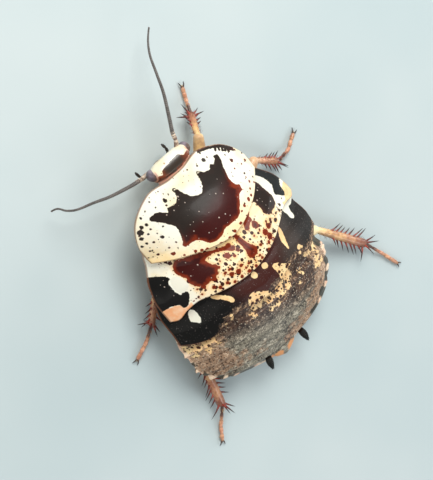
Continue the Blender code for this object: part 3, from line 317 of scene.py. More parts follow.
def smooth_through(stations, along):
    """Values of the smooth monotone curve through the stations, for an array of places."""
    xs, values = np.array(stations, float).T
    slopes = np.diff(values) / np.diff(xs)
    tangents = [slopes[0]]
    for before, after in zip(slopes, slopes[1:]):
        tangents.append(0.0 if before * after <= 0 else 2 * before * after / (before + after))
    tangents = np.array(tangents + [slopes[-1]])
    i = np.clip(np.searchsorted(xs, along, "right") - 1, 0, len(xs) - 2)
    span = xs[i + 1] - xs[i]
    s = np.clip((along - xs[i]) / span, 0, 1)
    rise = 3 * s**2 - 2 * s**3
    return ((1 - rise) * values[i] + rise * values[i + 1]
            + span * ((s**3 - 2 * s**2 + s) * tangents[i] + (s**3 - s**2) * tangents[i + 1]))


def smoothstep(low, high, value):
    s = np.clip((value - low) / (high - low), 0, 1)
    return s * s * (3 - 2 * s)


def half_width(y):
    """Half of the body's width at the places y, round at the shield and the tail."""
    y = np.asarray(y, float)
    ahead = np.clip((SHIELD_WIDEST - y) / (SHIELD_WIDEST - SHIELD_FRONT), 0, 1)
    shield = SHIELD_HALF_WIDTH * (1 - ahead**SHIELD_POWER) ** (1 / SHIELD_POWER)
    back = np.clip((y - TAIL_START) / (TAIL_END - TAIL_START), 0, 1)
    tail = SIDE_HALF_WIDTH[-1][1] * (1 - back**TAIL_POWER) ** TAIL_ROUND
    behind = np.where(y < TAIL_START, smooth_through(SIDE_HALF_WIDTH, y), tail)
    return np.where(y < SHIELD_WIDEST, shield, behind)


def dome(x, y):
    across = np.minimum(PAST_MARGIN, np.abs(x) / np.maximum(half_width(y), 0.3))
    margin = smooth_through(MARGIN_HEIGHT, y)
    return margin + (smooth_through(CREST_HEIGHT, y) - margin) * (1 - across**ARCH_POWER)


def under_dome(x, y, depth):
    """Height of a surface that lies the depth below the dome, measured square to it."""
    step = 0.1
    slope_x = (dome(x + step, y) - dome(x - step, y)) / (2 * step)
    slope_y = (dome(x, y + step) - dome(x, y - step)) / (2 * step)
    return dome(x, y) - depth * np.minimum(MOST_SLANT, np.sqrt(1 + slope_x**2 + slope_y**2))


def turned(x, y, turn):
    angle, pivot = math.radians(turn[0]), turn[1]
    cos, sin = math.cos(angle), math.sin(angle)
    return cos * x - sin * (y - pivot), sin * x + cos * (y - pivot) + pivot


def frame_offset():
    """Shift from the animal's own millimetres to the frame, from the left eye's box."""
    middle = np.mean(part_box("eye_left"), axis=0)
    x, y = turned(*EYE_CENTRE[:2], HEAD_TURN)
    return np.array([middle[0] - x * MM, middle[1] - y * MM, 0.0])


OFFSET = frame_offset()


def unit(vector):
    return vector / np.linalg.norm(vector)


def between(p0, p1, p2, p3, t):
    """Point at the share t from p1 to p2, on the smooth curve through all four."""
    return 0.5 * (2 * p1 + (p2 - p0) * t + (2 * p0 - 5 * p1 + 4 * p2 - p3) * t**2
                  + (3 * p1 - p0 - 3 * p2 + p3) * t**3)


def grid(down, across):
    """Two grids with the values of each row and of each column."""
    return np.meshgrid(down, across, indexing="ij")


def circle(count):
    return np.linspace(0, 2 * math.pi, count, endpoint=False)


def across_back(count):
    """Places from -1 to 1, closer together at both ends."""
    return np.sin(np.linspace(-1, 1, count) * math.pi / 2)


def from_segment(a, b, x, y):
    """Distance from the straight line between a and b."""
    edge = b - a
    t = np.clip(((x - a[0]) * edge[0] + (y - a[1]) * edge[1]) / max(edge @ edge, 1e-9), 0, 1)
    return np.hypot(x - a[0] - t * edge[0], y - a[1] - t * edge[1])


def inside_by(points, x, y):
    """Distance inside the smooth closed outline through the points; negative outside."""
    near = [np.roll(points, 1 - k, axis=0) for k in range(4)]
    outline = np.array([between(*four, t) for four in zip(*near) for t in np.arange(EDGE_STEPS) / EDGE_STEPS])
    nearest, inside = np.full(x.shape, np.inf), np.zeros(x.shape, bool)
    for a, b in zip(outline, np.roll(outline, -1, axis=0)):
        nearest = np.minimum(nearest, from_segment(a, b, x, y))
        if a[1] != b[1]:
            inside ^= ((a[1] > y) != (b[1] > y)) & (x < a[0] + (y - a[1]) * (b[0] - a[0]) / (b[1] - a[1]))
    return np.where(inside, nearest, -nearest)


def inside_any(outlines, x, y):
    return np.max([inside_by(outline, x, y) for outline in outlines], axis=0)


def inside_spots(spots, x, y):
    return np.max([radius - np.hypot(x - cx, y - cy) for cx, cy, radius in spots], axis=0).clip(OUTSIDE)


def inside_lines(lines, radius, x, y):
    """Distance inside thin strokes drawn along the lines."""
    return radius - np.min([from_segment(a, b, x, y) for line in map(np.array, lines)
                            for a, b in zip(line, line[1:])], axis=0)


def curve_through(knots, count):
    """Evenly spaced points on the smooth curve through the knots."""
    knots = np.array(knots, float)
    ends = np.concatenate([knots[:1], knots, knots[-1:]])
    dense = np.array([between(*ends[k:k + 4], t) for k in range(len(knots) - 1)
                      for t in np.linspace(0, 1, 24, endpoint=False)] + [knots[-1]])
    lengths = np.concatenate([[0], np.cumsum(np.linalg.norm(np.diff(dense, axis=0), axis=1))])
    places = np.linspace(0, lengths[-1], count)
    return np.stack([np.interp(places, lengths, dense[:, i]) for i in range(3)], axis=1)


def across_axes(path):
    """Level, upward and forward unit vectors of the path at each point."""
    forward = np.gradient(path, axis=0)
    forward /= np.maximum(np.linalg.norm(forward, axis=1), 1e-9)[:, None]
    level = np.cross(forward, UP)
    steep = np.linalg.norm(level, axis=1) < 0.08
    level[steep] = np.cross(forward[steep], (0, 1.0, 0))
    level /= np.linalg.norm(level, axis=1)[:, None]
    return level, np.cross(level, forward), forward


def grid_faces(rows, columns, wrap=True):
    """Quads between rows of equal length; wrap joins each row's end to its start."""
    corners = [(r * columns + c, r * columns + (c + 1) % columns)
               for r in range(rows - 1) for c in range(columns if wrap else columns - 1)]
    return [(a, b, b + columns, a + columns) for a, b in corners]


def placed(name, data):
    """New object of the data, linked to the scene."""
    thing = bpy.data.objects.new(name, data)
    bpy.context.scene.collection.objects.link(thing)
    return thing


class Shape:
    """Points in millimetres, faces and per-point values gathered for one piece."""

    def __init__(self, value_names=LIMB_VALUES):
        self.points, self.faces, self.face_slots = [], [], []
        self.count = 0
        self.values = {name: [] for name in value_names}

    def add(self, points, faces, slot=0, **values):
        points = np.asarray(points, float).reshape(-1, 3)
        self.points.append(points)
        self.faces += [tuple(i + self.count for i in face) for face in faces]
        self.face_slots += [slot] * len(faces)
        self.count += len(points)
        for name, gathered in self.values.items():
            gathered.append(np.broadcast_to(np.ravel(values.get(name, 0.0)), len(points)))

    def add_rings(self, rings, slot=0, **values):
        """Tube through rings, closed at both ends; a value is a number, one per ring or one per point."""
        rings = np.asarray(rings, float)
        rows, columns = rings.shape[:2]
        last, pole = (rows - 1) * columns, rows * columns
        faces = grid_faces(rows, columns)
        for c in range(columns):
            beside = (c + 1) % columns
            faces += [(beside, c, pole), (last + c, last + beside, pole + 1)]
        for name, value in values.items():
            value = np.asarray(value, float)
            value = np.broadcast_to(value[:, None] if value.ndim == 1 else value, (rows, columns))
            values[name] = np.concatenate([value.ravel(), value[[0, -1]].mean(axis=1)])
        self.add(np.concatenate([rings.reshape(-1, 3), rings[[0, -1]].mean(axis=1)]), faces, slot, **values)

    def add_tube(self, path, wide, thick, sides, slot=0, **values):
        """Oval tube along the path; the first point of each ring lies on its level side."""
        path = np.asarray(path, float)
        level, up, _ = across_axes(path)
        angles = circle(sides)[:, None]
        wide, thick = (np.broadcast_to(width, len(path))[:, None, None] for width in (wide, thick))
        rings = path[:, None] + level[:, None] * np.cos(angles) * wide + up[:, None] * np.sin(angles) * thick
        self.add_rings(rings, slot, **values)

    def add_thorn(self, root, tip, radius, slot=0, sides=3, steps=2):
        """Tapered, slightly bent spine; the value 'tip' runs from 0 at its root to 1."""
        root, shares = np.asarray(root, float), np.linspace(0, 1, steps + 1)
        reach = tip - root
        side = np.cross(unit(reach), UP)
        side = unit(side) if np.linalg.norm(side) > 1e-3 else np.array([1.0, 0, 0])
        bend = np.cross(side, reach) * (np.sin(shares * math.pi) * THORN_BEND)[:, None]
        widths = radius * ((1 - shares) ** 0.8 + 0.04)
        self.add_tube(root + reach * shares[:, None] + bend, widths, widths, sides, slot, tip=shares)

    def add_hair(self, path, k, dice, depth, lean, thickness, slot=0, spread=None, lowest=-1.0):
        """Fine hair from the path's point k, out in a random direction and forward by the lean."""
        level, up, forward = (axis[k] for axis in across_axes(path))
        angle = dice.uniform(0, 2 * math.pi)
        out = level * math.cos(angle) + up * math.sin(angle)
        root = path[k] + out * depth
        end = root + (out * lean[0] + forward * lean[1]) * (dice.uniform(*spread) if spread else 1.0)
        if end[2] > lowest:
            self.add_thorn(root, end, thickness, slot)

    def add_hairs(self, path, reach, count, dice, length, slot=0):
        """Hairs of uneven length at random places along the path, none into the floor."""
        lean = (0.75 * length, 0.65 * length)
        for _ in range(count):
            k = dice.randrange(2, len(path) - 2)
            self.add_hair(path, k, dice, reach * 0.85, lean, 0.02, slot, (0.6, 1.2), 0.03)

    def add_limb(self, start, end, stations, sides, **values):
        """Leg segment; a value is a number, or places along the segment and the values there."""
        xs, wide, thick = np.array(stations).T
        shares = np.linspace(0, 1, LIMB_RINGS)
        wide, thick = (smooth_through(np.stack([xs, width], axis=1), shares) for width in (wide, thick))
        path = start + (end - start) * shares[:, None]
        for name, value in values.items():
            values[name] = np.interp(shares, *value) if isinstance(value, tuple) else value
        self.add_tube(path, wide, thick, sides, **values)
        return path

    def add_jointed(self, knots, radii, joints, sides, waist=0.72, rings=0.5, root_shade=0.0, pale=0.0,
                    rose=0.0):
        """Limb of several joints, each swelling from a narrow root to a rounded end."""
        path = curve_through(knots, joints * JOINT_RINGS + 1)
        shares = np.linspace(0, 1, len(path))
        phase = (shares * joints) % 1.0
        phase[-1] = 1.0
        widths = np.interp(shares, np.linspace(0, 1, len(radii)), radii)
        widths *= waist + (1 - waist) * np.sin(np.clip(phase * 1.12, 0, 1) * math.pi) ** 0.45
        dark_root = root_shade * (1 - smoothstep(0.24, 0.42, shares) + 0.35 * smoothstep(0.8, 0.95, shares))
        shade = np.maximum(np.where((phase < 0.14) | (phase > 0.92), rings, 0.0), dark_root)
        self.add_tube(path, widths, widths, sides, tip=shares, shade=shade,
                      pale=pale * smoothstep(0.3, 0.45, shares), rose=rose)

    def add_ball(self, centre, radii, turn=None, **values):
        """Ellipsoid, turned with the head if the turn is given."""
        lat, lon = grid(np.linspace(0.03, math.pi - 0.03, 18), circle(28))
        x = centre[0] + radii[0] * np.sin(lat) * np.cos(lon)
        y = centre[1] + radii[1] * np.sin(lat) * np.sin(lon)
        z = centre[2] + radii[2] * np.cos(lat)
        if turn:
            x, y = turned(x, y, turn)
        self.add_rings(np.stack([x, y, z], axis=2), **values)

    def build(self, name, materials, nodes):
        """Object of all that was added, which stands for the CAD nodes."""
        mesh = bpy.data.meshes.new(name)
        mesh.from_pydata((np.concatenate(self.points) * MM + OFFSET).tolist(), [], self.faces)
        for material in materials:
            mesh.materials.append(material)
        mesh.polygons.foreach_set("material_index", self.face_slots)
        for value_name, gathered in self.values.items():
            attribute = mesh.attributes.new(value_name, "FLOAT", "POINT")
            attribute.data.foreach_set("value", np.concatenate(gathered).astype(np.float32))
        mesh.validate()
        outward = bmesh.new()
        outward.from_mesh(mesh)
        bmesh.ops.recalc_face_normals(outward, faces=outward.faces)
        outward.to_mesh(mesh)
        outward.free()
        mesh.shade_smooth()
        piece = placed(name, mesh)
        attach(piece, "root")
        if nodes:
            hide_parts(*nodes)


class Value:
    """A node's output, for sums and products as with numbers; a | b is the larger of the two."""

    def __init__(self, nodes, socket):
        self.nodes, self.socket = nodes, socket

    def __add__(self, other):
        return self.nodes.maths("ADD", self, other)

    def __sub__(self, other):
        return self.nodes.maths("SUBTRACT", self, other)

    def __mul__(self, other):
        return self.nodes.maths("MULTIPLY", self, other)

    def __or__(self, other):
        return self.nodes.maths("MAXIMUM", self, other)


class Nodes:
    """Short hand for building one material's node tree."""

    def __init__(self, name):
        self.material = bpy.data.materials.new(name)
        self.material.use_nodes = True
        self.tree = self.material.node_tree
        self.place = self.make("TexCoord", "Object")

    def make(self, kind, output, inputs=(), **settings):
        """One output of a new node with these settings and inputs."""
        node = self.tree.nodes.new("ShaderNode" + kind)
        for key, value in settings.items():
            setattr(node, key, value)
        for key, source in dict(inputs).items():
            self.link(source, node.inputs[key])
        return Value(self, node.outputs[output])

    def link(self, source, target):
        """Joins a node's output to the input, or sets the input to a number, colour or vector."""
        if isinstance(source, Value):
            self.tree.links.new(source.socket, target)
        elif isinstance(source, tuple):
            target.default_value = (*source, 1.0) if len(target.default_value) == 4 else source
        elif source is not None:
            target.default_value = source

    def attribute(self, name):
        return self.make("Attribute", "Fac", attribute_name=name)

    def maths(self, operation, a, b):
        return self.make("Math", 0, {0: a, 1: b}, operation=operation)

    def ramp(self, value, low, high):
        """0 below low, 1 above high, smooth between."""
        inputs = {"Value": value, "From Min": low, "From Max": high}
        return self.make("MapRange", "Result", inputs, interpolation_type="SMOOTHSTEP")

    def mix(self, factor, a, b):
        return self.make("Mix", "Result", {"Factor": factor, "A": a, "B": b}, data_type="RGBA")

    def noise(self, per_mm, detail=3.0, roughness=0.55):
        inputs = {"Scale": per_mm / MM, "Detail": detail, "Roughness": roughness, "Vector": self.place}
        return self.make("TexNoise", "Fac", inputs)

    def shake(self, per_mm, detail, amount, roughness=0.55):
        """Noise about 0, over the whole amount."""
        return (self.noise(per_mm, detail, roughness) - 0.5) * amount

    def over(self, colour, *layers):
        """The colour with each layer, a share and a colour, laid over it in turn."""
        for share, layer in layers:
            colour = self.mix(share, colour, layer)
        return colour

    def mottle(self, per_mm, low, high, a, b, detail=3.0):
        """Colour a where the noise is below low, b above high."""
        return self.mix(self.ramp(self.noise(per_mm, detail), low, high), a, b)

    def cells(self, per_mm, dimensions="2D"):
        """Distance to the nearest cell centre, and two random values of that cell."""
        inputs = {"Scale": per_mm / MM, "Vector": self.place}
        distance = self.make("TexVoronoi", "Distance", inputs, voronoi_dimensions=dimensions)
        colour = Value(self, distance.socket.node.outputs["Color"])
        first = self.make("SeparateColor", 0, {0: colour})
        return distance, first, Value(self, first.socket.node.outputs[1])

    def dots(self, per_mm, share, small, large, amount=1.0, wobble=0.10):
        """Uneven round dots on a share of the cells, radius from small to large of a cell."""
        distance, chance, size = self.cells(per_mm)
        radius = (size * (large - small) + small) * amount
        edge = self.ramp(radius - (distance + self.shake(per_mm * 3.1, 2.0, wobble * 2)), -0.02, 0.03)
        return edge * self.maths("LESS_THAN", chance, share)

    def bump(self, height, strength, distance_mm, after=None):
        inputs = {"Strength": strength, "Distance": distance_mm * MM, "Height": height, "Normal": after}
        return self.make("Bump", "Normal", inputs)

    def done(self, colour, roughness, normal=None, coat=0.0, coat_roughness=0.1, see_in=0.0, shine=0.5):
        inputs = {"Base Color": colour, "Roughness": roughness, "Normal": normal, "Specular IOR Level": shine,
                  "Coat Weight": coat, "Coat Roughness": coat_roughness}
        if see_in:
            inputs.update({"Subsurface Weight": see_in, "Subsurface Radius": SEE_IN_TINT,
                           "Subsurface Scale": SEE_IN_DEPTH * MM})
        for name, source in inputs.items():
            self.link(source, self.tree.nodes["Principled BSDF"].inputs[name])
        return self.material


def marked_edge(n, name, wobble, soft=0.03):
    """0 outside a mark and 1 inside, with an edge that wanders by wobble millimetres at two scales."""
    shaken = n.attribute(name) + n.shake(0.8, 2.0, wobble * 2) + n.shake(3.6, 3.0, wobble)
    return n.ramp(shaken, -soft, soft)


def three_tones(n, level, dark, middle, pale):
    """Mottling: dark, middle and pale in turn as the level rises through one half."""
    return n.mix(n.ramp(level, 0.53, 0.60), n.mix(n.ramp(level, 0.40, 0.49), dark, middle), pale)


def plate_material(name, ground=(CREAM_LIGHT, CREAM_WARM), second=HONEY, grain=0.0):
    """Glossy plate: ground, dark dots, red-brown and black marks, pale and orange patches."""
    n = Nodes(name)
    warm, red, deep, peppered = (n.attribute(value) for value in ("warm", "red", "deep", "pepper"))
    warmed = n.ramp(warm + n.shake(1.4, 4.0, 0.5), 0.0, 1.0) * n.ramp(warm, 0.0, 0.1)
    base = n.mix(warmed, n.mottle(0.28, 0.44, 0.74, *ground, 2.0), second)
    if grain:
        faded = n.ramp(n.attribute("fade") + n.shake(1.6, 5.0, 2.2, 0.7), 0.45, 0.60)
        glint = n.dots(1.6, 0.35, 0.04, 0.12) | n.dots(4.5, 0.35, 0.06, 0.16)
        mottled = three_tones(n, n.noise(2.6, 4.0, 0.7), *FADED_TONES)
        base = n.over(base, (deep, BLACK_BROWN), (faded, mottled), (glint * 0.5, GLINT_GREY))
    small, fine = n.dots(0.85, 0.55, 0.04, 0.12), n.dots(1.9, 0.22, 0.05, 0.13)
    blots = n.dots(1.2, 0.9, 0.17, 0.33, peppered, 0.15) | n.dots(2.6, 0.5, 0.13, 0.30, peppered, 0.15)
    # Pale specks on the red and black marks: partly pale dots of the cuticle, partly painted glints
    specks_and_glints = n.dots(0.7, 0.5, 0.035, 0.06, wobble=0.03) | n.dots(2.0, 0.12, 0.04, 0.08)
    tone = n.mix(n.ramp(red + n.shake(0.8, 4.0, 1.6), 0.08, 0.62), RED_BROWN, MAROON)
    tone = n.mix(n.ramp(deep, 0.0, 1.0), tone, DARK_BROWN)
    red_mark, black_mark = marked_edge(n, "red", 0.20), marked_edge(n, "black", 0.20)
    colour = n.over(
        base,
        (marked_edge(n, "patch", 0.22), n.mottle(1.2, 0.35, 0.65, PATCH_CREAM, PATCH_YELLOW)),
        ((small | fine) * n.attribute("dotted"), DOT_BROWN),
        (n.ramp(red, -0.38, -0.04) * (peppered * 0.55), HALO_OCHRE),
        (blots, n.mottle(0.9, 0.4, 0.6, DOT_BROWN, MAROON)),
        (red_mark, tone),
        (black_mark, BLACK_BROWN),
        (marked_edge(n, "white", 0.14), PALE_WHITE),
        (marked_edge(n, "orange", 0.20), n.mottle(1.1, 0.35, 0.7, ORANGE, PALE_ORANGE)),
        (specks_and_glints * (red_mark | black_mark), SPECK_GLINT_TAN),
        (n.ramp(n.attribute("rim"), 0.16, 0.03) * 0.75, RIM_BROWN))
    relief = n.bump(n.noise(7.0, 4.0, 0.65), 0.10 + grain, 0.03)
    relief = n.bump(n.maths("SUBTRACT", 1.0, small), 0.25, 0.03, relief)
    relief = n.bump(n.noise(0.9, 2.0), 0.16, 0.10, relief)
    roughness = n.noise(2.2) * 0.18 + (0.32 + grain * 0.45)
    return n.done(colour, roughness, relief, coat=0.05, see_in=0.05, shine=0.15)


def plate_shell(name, hind, front, half_width_at, turn, sunk, material, marks, columns, rows):
    """Thin curved plate with rounded edges, carrying its marks as distances inside them."""
    along, across = grid(np.linspace(0, 1, rows), across_back(columns))
    reach = np.abs(across) * hind[-1][0]
    y_front, y_hind = front(reach), smooth_through(hind, reach)
    length = y_hind - y_front
    y = y_front + along * length
    x = across * half_width_at(y)
    rim = np.minimum((1 - along) * length, (1 - np.abs(across)) * half_width_at(y))
    if not sunk:
        rim = np.minimum(rim, along * length)
    # The front lies sunk under the plate ahead and rises in the middle; the edges roll down by the lip.
    depth = sunk * (1 - np.clip((along - 0.38) / 0.30, 0, 1)) ** 1.3
    roll = PLATE_LIP * (1 - np.sqrt(np.maximum(0, 1 - np.clip(1 - rim / PLATE_LIP, 0, 1) ** 2))) * 0.75
    bx, by = turned(x, y, turn)
    top = np.stack([bx, by, under_dome(bx, by, depth) - roll], axis=2)
    low = np.stack([*turned(x * 0.988, y - 0.05 * (along - 0.5), turn),
                    under_dome(bx, by, depth + PLATE_THICKNESS - roll * 0.2)], axis=2)
    cells = rows * columns
    faces = grid_faces(rows, columns, wrap=False)
    faces += [tuple(i + cells for i in face[::-1]) for face in faces]
    ids = np.arange(cells).reshape(rows, columns)
    border = np.concatenate([ids[0], ids[1:, -1], ids[-1, -2::-1], ids[-2:0:-1, 0]]).tolist()
    faces += [(a, a + cells, b + cells, b) for a, b in zip(border, border[1:] + border[:1])]
    values = dict.fromkeys(PLATE_MARKS, OUTSIDE) | dict.fromkeys(PLATE_TONES, 0.0) | marks(x, y)
    values["rim"] = rim
    shape = Shape(values)
    shape.add(np.stack([top, low]), faces,
              **{key: np.tile(np.broadcast_to(value, x.shape).ravel(), 2) for key, value in values.items()})
    shape.build(f"{name}_shell", [material], [name])


def shield_marks(x, y):
    dark = [inside_by(BLOTCH, x, y), inside_spots(SHIELD_DOTS, x, y),
            inside_lines(SHIELD_LINES, SHIELD_LINE_RADIUS, x, y),
            0.09 - np.abs(inside_spots(SHIELD_RINGS, x, y) + 0.09)]
    return dict(red=np.max(dark, axis=0), dotted=1.0, deep=smoothstep(6.6, 4.0, y - 0.2 * x) * 0.9,
                warm=0.45 * smoothstep(4.8, 8.4, x) + 0.6 * smoothstep(4.4, 8.8, y))


def mesonotum_marks(x, y):
    red = inside_any((MESO_RED_LEFT, MESO_RED_RIGHT, MESO_CLUB, MESO_BAR), x, y)
    plain = smoothstep(-0.3, 0.1, inside_by(MESO_TOOTH, x, y))
    side = np.abs(x)
    middle = smoothstep(2.2, 0.4, np.abs(x + 0.2)) * smoothstep(11.5, 9.6, y)
    return dict(red=np.maximum(red, inside_spots(MESO_BLOTS, x, y)),
                black=inside_any((MESO_BLACK_LEFT, MESO_BLACK_RIGHT), x, y),
                white=inside_any((MESO_OVAL_LEFT, MESO_OVAL_RIGHT), x, y),
                orange=inside_by(MESO_ORANGE, x, y), patch=inside_by(MESO_ORANGE, -x, y),
                pepper=(1 - plain) * smoothstep(8.2, 6.4, side) * (0.8 + 0.2 * smoothstep(8.5, 12.5, y)),
                dotted=smoothstep(9.0, 7.6, side) * 0.9,
                warm=0.55 * smoothstep(8.2, 6.0, side) + 0.3 * middle, deep=smoothstep(3.5, 5.5, -x) * 0.8)


def metanotum_marks(x, y):
    speckled = inside_any((META_SPECKLED, META_SPECKLED_LEFT), x, y)
    patches = [inside_any((META_BAR_LEFT, META_BAR_RIGHT), x, y), speckled,
               inside_spots(META_PALE_SPOTS + META_FLECKS, x, y)]
    behind = smooth_through(METANOTUM_HIND, np.abs(x)) - y
    return dict(white=inside_any((META_TOOTH_LEFT, META_TOOTH_RIGHT), x, y), patch=np.max(patches, axis=0),
                pepper=smoothstep(-0.2, 0.1, speckled), warm=smoothstep(2.5, 6.0, 0.5 * (y - 15.0) - x),
                deep=np.maximum(smoothstep(2.0, 5.5, x + 0.4 * (y - 15.0)), 0.75 * smoothstep(-6.0, -8.5, x)),
                fade=smoothstep(1.5, 0.1, behind) * smoothstep(8.5, 5.5, x))


def shield_front(reach):
    share = np.minimum(1, reach / SHIELD_HALF_WIDTH)
    plain = SHIELD_WIDEST - (SHIELD_WIDEST - SHIELD_FRONT) * (1 - share**SHIELD_POWER) ** (1 / SHIELD_POWER)
    return plain + COLLAR_DEPTH * (1 - smoothstep(*COLLAR_SPAN, reach))


def make_plates():
    cream = plate_material("cream_plate")
    dark = plate_material("dark_plate", DARK_GROUND, (0.046, 0.033, 0.027), 0.4)
    plate_shell("pronotum", PRONOTUM_HIND, shield_front, lambda y: PRONOTUM_HIND[-1][0] + 0 * y,
                PRONOTUM_TURN, 0.0, cream, shield_marks, 230, 150)
    plate_shell("mesonotum", MESONOTUM_HIND, partial(smooth_through, MESONOTUM_FRONT),
                partial(smooth_through, MESONOTUM_HALF_WIDTH), MESONOTUM_TURN, PLATE_SUNK, cream,
                mesonotum_marks, 260, 110)
    plate_shell("metanotum", METANOTUM_HIND, partial(smooth_through, METANOTUM_FRONT),
                partial(smooth_through, METANOTUM_HALF_WIDTH), METANOTUM_TURN, PLATE_SUNK, dark,
                metanotum_marks, 230, 90)


def belly(x, y):
    middle = smooth_through(BELLY_HEIGHT, y)
    edge = smooth_through(MARGIN_HEIGHT, y) - 0.5
    across = np.minimum(1, np.abs(x) / np.maximum(half_width(y), 0.3))
    return middle + np.maximum(0, edge - middle) * across**1.7


def abdomen_material():
    """Speckled skin: dark in front, grey-brown behind, warm at the sides, with its marks and painted shade on
    each ring's hind lip.
    """
    n = Nodes("abdomen_skin")
    level = n.noise(3.0, 4.0, 0.7) * 0.6 + n.noise(0.7, 4.0, 0.6) * 0.4
    front, rear, side = (three_tones(n, level, *tones) for tones in ABDOMEN_TONES)
    flank = n.ramp(n.attribute("flank") + n.shake(0.8, 5.0, 1.6, 0.7), 0.35, 0.65)
    patch = n.ramp(n.attribute("cream") + n.shake(1.5, 5.0, 1.9, 0.65), -0.05, 0.06)
    dark_dots = n.dots(2.2, 0.45, 0.08, 0.26) | n.dots(4.0, 0.4, 0.10, 0.28)
    flecks = n.dots(2.6, 0.4, 0.05, 0.20) | n.dots(5.0, 0.3, 0.08, 0.24)
    peppered = n.dots(1.5, 0.8, 0.14, 0.34) | n.dots(3.2, 0.5, 0.1, 0.28)
    rim = n.mix(dark_dots * 0.3, n.mottle(0.9, 0.35, 0.6, RIM_ROSE, RIM_CREAM), RIM_DOT)
    colour = n.over(
        front,
        (n.attribute("rear"), rear),
        (flank, side),
        (dark_dots * 0.75, FLECK_DARK),
        (flecks * 0.7, FLECK_PALE),
        (patch, n.mottle(1.0, 0.35, 0.65, PATCH_CREAM, PATCH_YELLOW)),
        (peppered * patch, DOT_BROWN),
        (marked_edge(n, "rim_pale", 0.45, 0.10), rim),
        (marked_edge(n, "orange", 0.45, 0.15), TAIL_OCHRE),
        (marked_edge(n, "rim_dark", 0.22, 0.08) * 0.93, RIM_BLACK),
        (n.attribute("under"), n.mottle(0.8, 0.4, 0.7, BELLY_BROWN, BELLY_TAN)),
        # painted shade: each ring's hind lip, where it rolls down under onto the next ring, is darkened
        (n.ramp(n.attribute("seam_shade"), 0.25, 0.9), SEAM_SHADE_BROWN))
    relief = n.bump(n.noise(12.0, 2.0), 0.2, 0.02, n.bump(n.noise(3.5, 4.0, 0.6), 0.35, 0.06))
    return n.done(colour, n.noise(2.0) * 0.3 + 0.28, relief, coat=0.03, coat_roughness=0.25, shine=0.25)


def rim_lobes(across, y):
    """How far the margin stands out: a small round lobe at the hind corner of each ring."""
    lobes = [(across * side > 0) * np.exp(-((y - centre) / 0.3) ** 2) for side, centre in RIM_LOBES]
    return LOBE_LENGTH * (np.sum(lobes, axis=0) - 1 / 3)


def abdomen_values(x, y, s, on_back):
    """Marks of the abdomen's points: distances inside each mark, and soft shares."""
    places = np.linspace(16.0, TAIL_END, 260)
    gaps = np.hypot(np.abs(x)[..., None] - half_width(places), y[..., None] - places)
    depth_in, place = gaps.min(axis=2), places[gaps.argmin(axis=2)]
    dark = np.full(x.shape, -1.0)
    for side, centre, half_length in RIM_DARK:
        inward, more_at_tail = RIM_DEPTH_LEFT if side > 0 else RIM_DEPTH_RIGHT
        inward = inward + more_at_tail * smoothstep(22.5, 26.5, place)
        inside = np.minimum(inward - depth_in, half_length - np.abs(place - centre))
        dark = np.maximum(dark, np.where(x * side > 0, inside, -1.0))
    wide = np.where(x > 0, 0.4, 0.8) + 0.25 * smoothstep(23.0, 26.5, place)
    marks = dict(cream=inside_spots(ABDOMEN_PATCHES, x, y), rim_pale=wide - depth_in,
                 orange=inside_spots(TAIL_ORANGE, x, y), rim_dark=dark)
    flank = smoothstep(6.4, 1.4, depth_in) * np.where(x > 0, smoothstep(27.5, 22.0, y), 0.85)
    return dict(rear=on_back * smoothstep(19.6, 23.0, y + 0.22 * x), flank=on_back * flank, under=1 - on_back,
                # painted shade on each ring's hind lip, where it rolls down into the crease
                seam_shade=on_back * smoothstep(0.96, 1.0, s) * 0.8,
                **{name: np.where(on_back > 0, mark, OFF_BACK) for name, mark in marks.items()})


def make_abdomen():
    """Shingled skin of the abdomen: each ring's hind edge lies over the next one's front."""
    half = across_back(150)
    across, on_back = np.concatenate([half, half[::-1]]), np.repeat([[1.0, 0.0]], len(half), axis=1)
    s = np.concatenate([np.linspace(0, 0.94, 15), [0.985, 1.0]])[:, None]
    lip = smoothstep(0.94, 1.0, s)
    borders = RING_BORDERS + [ABDOMEN_END]
    rings = []
    for border, following in zip(borders, borders[1:]):
        y, ahead = (a + s * (b - a) for a, b in zip(border, following))
        reach = half_width(y - ahead) - 0.1 - 0.14 * (1 - smoothstep(0.0, 0.8, s))
        # A ring starts sunk under the one ahead, and its hind lip dips to the next.
        depth = 0.26 * (1 - smoothstep(0.0, 0.75, s)) + 0.14 * lip
        if border is borders[0]:
            depth = 0.88 * (1 - smoothstep(0.62, 0.95, s)) + 0.14 * lip
        if following is borders[-1]:
            depth, reach, ahead = 0.55 + 0.25 * s, reach - 0.05, ahead * 0.7
        x, y = across * np.maximum(0.25, reach), y - ahead * across**2
        upper = under_dome(x, y, depth)
        lower = np.minimum(belly(x, y) + np.where(s < 0.95, 1 - s, lip) * 0.10, upper - 0.34)
        x = np.where(on_back > 0, x, x * 0.985) + np.sign(across) * across**8 * rim_lobes(across, y)
        rings.append(np.stack([x, y, np.where(on_back > 0, upper, lower)], axis=2))
    skin = np.concatenate(rings)
    shape = Shape(ABDOMEN_VALUES)
    shape.add_rings(skin, **abdomen_values(skin[..., 0], skin[..., 1], np.tile(s, (len(rings), 1)), on_back))
    nodes = [f"abdomen_{k}" for k in range(1, len(RING_BORDERS))] + ["abdomen_tip"]
    shape.build("abdomen_skin", [abdomen_material()], nodes)


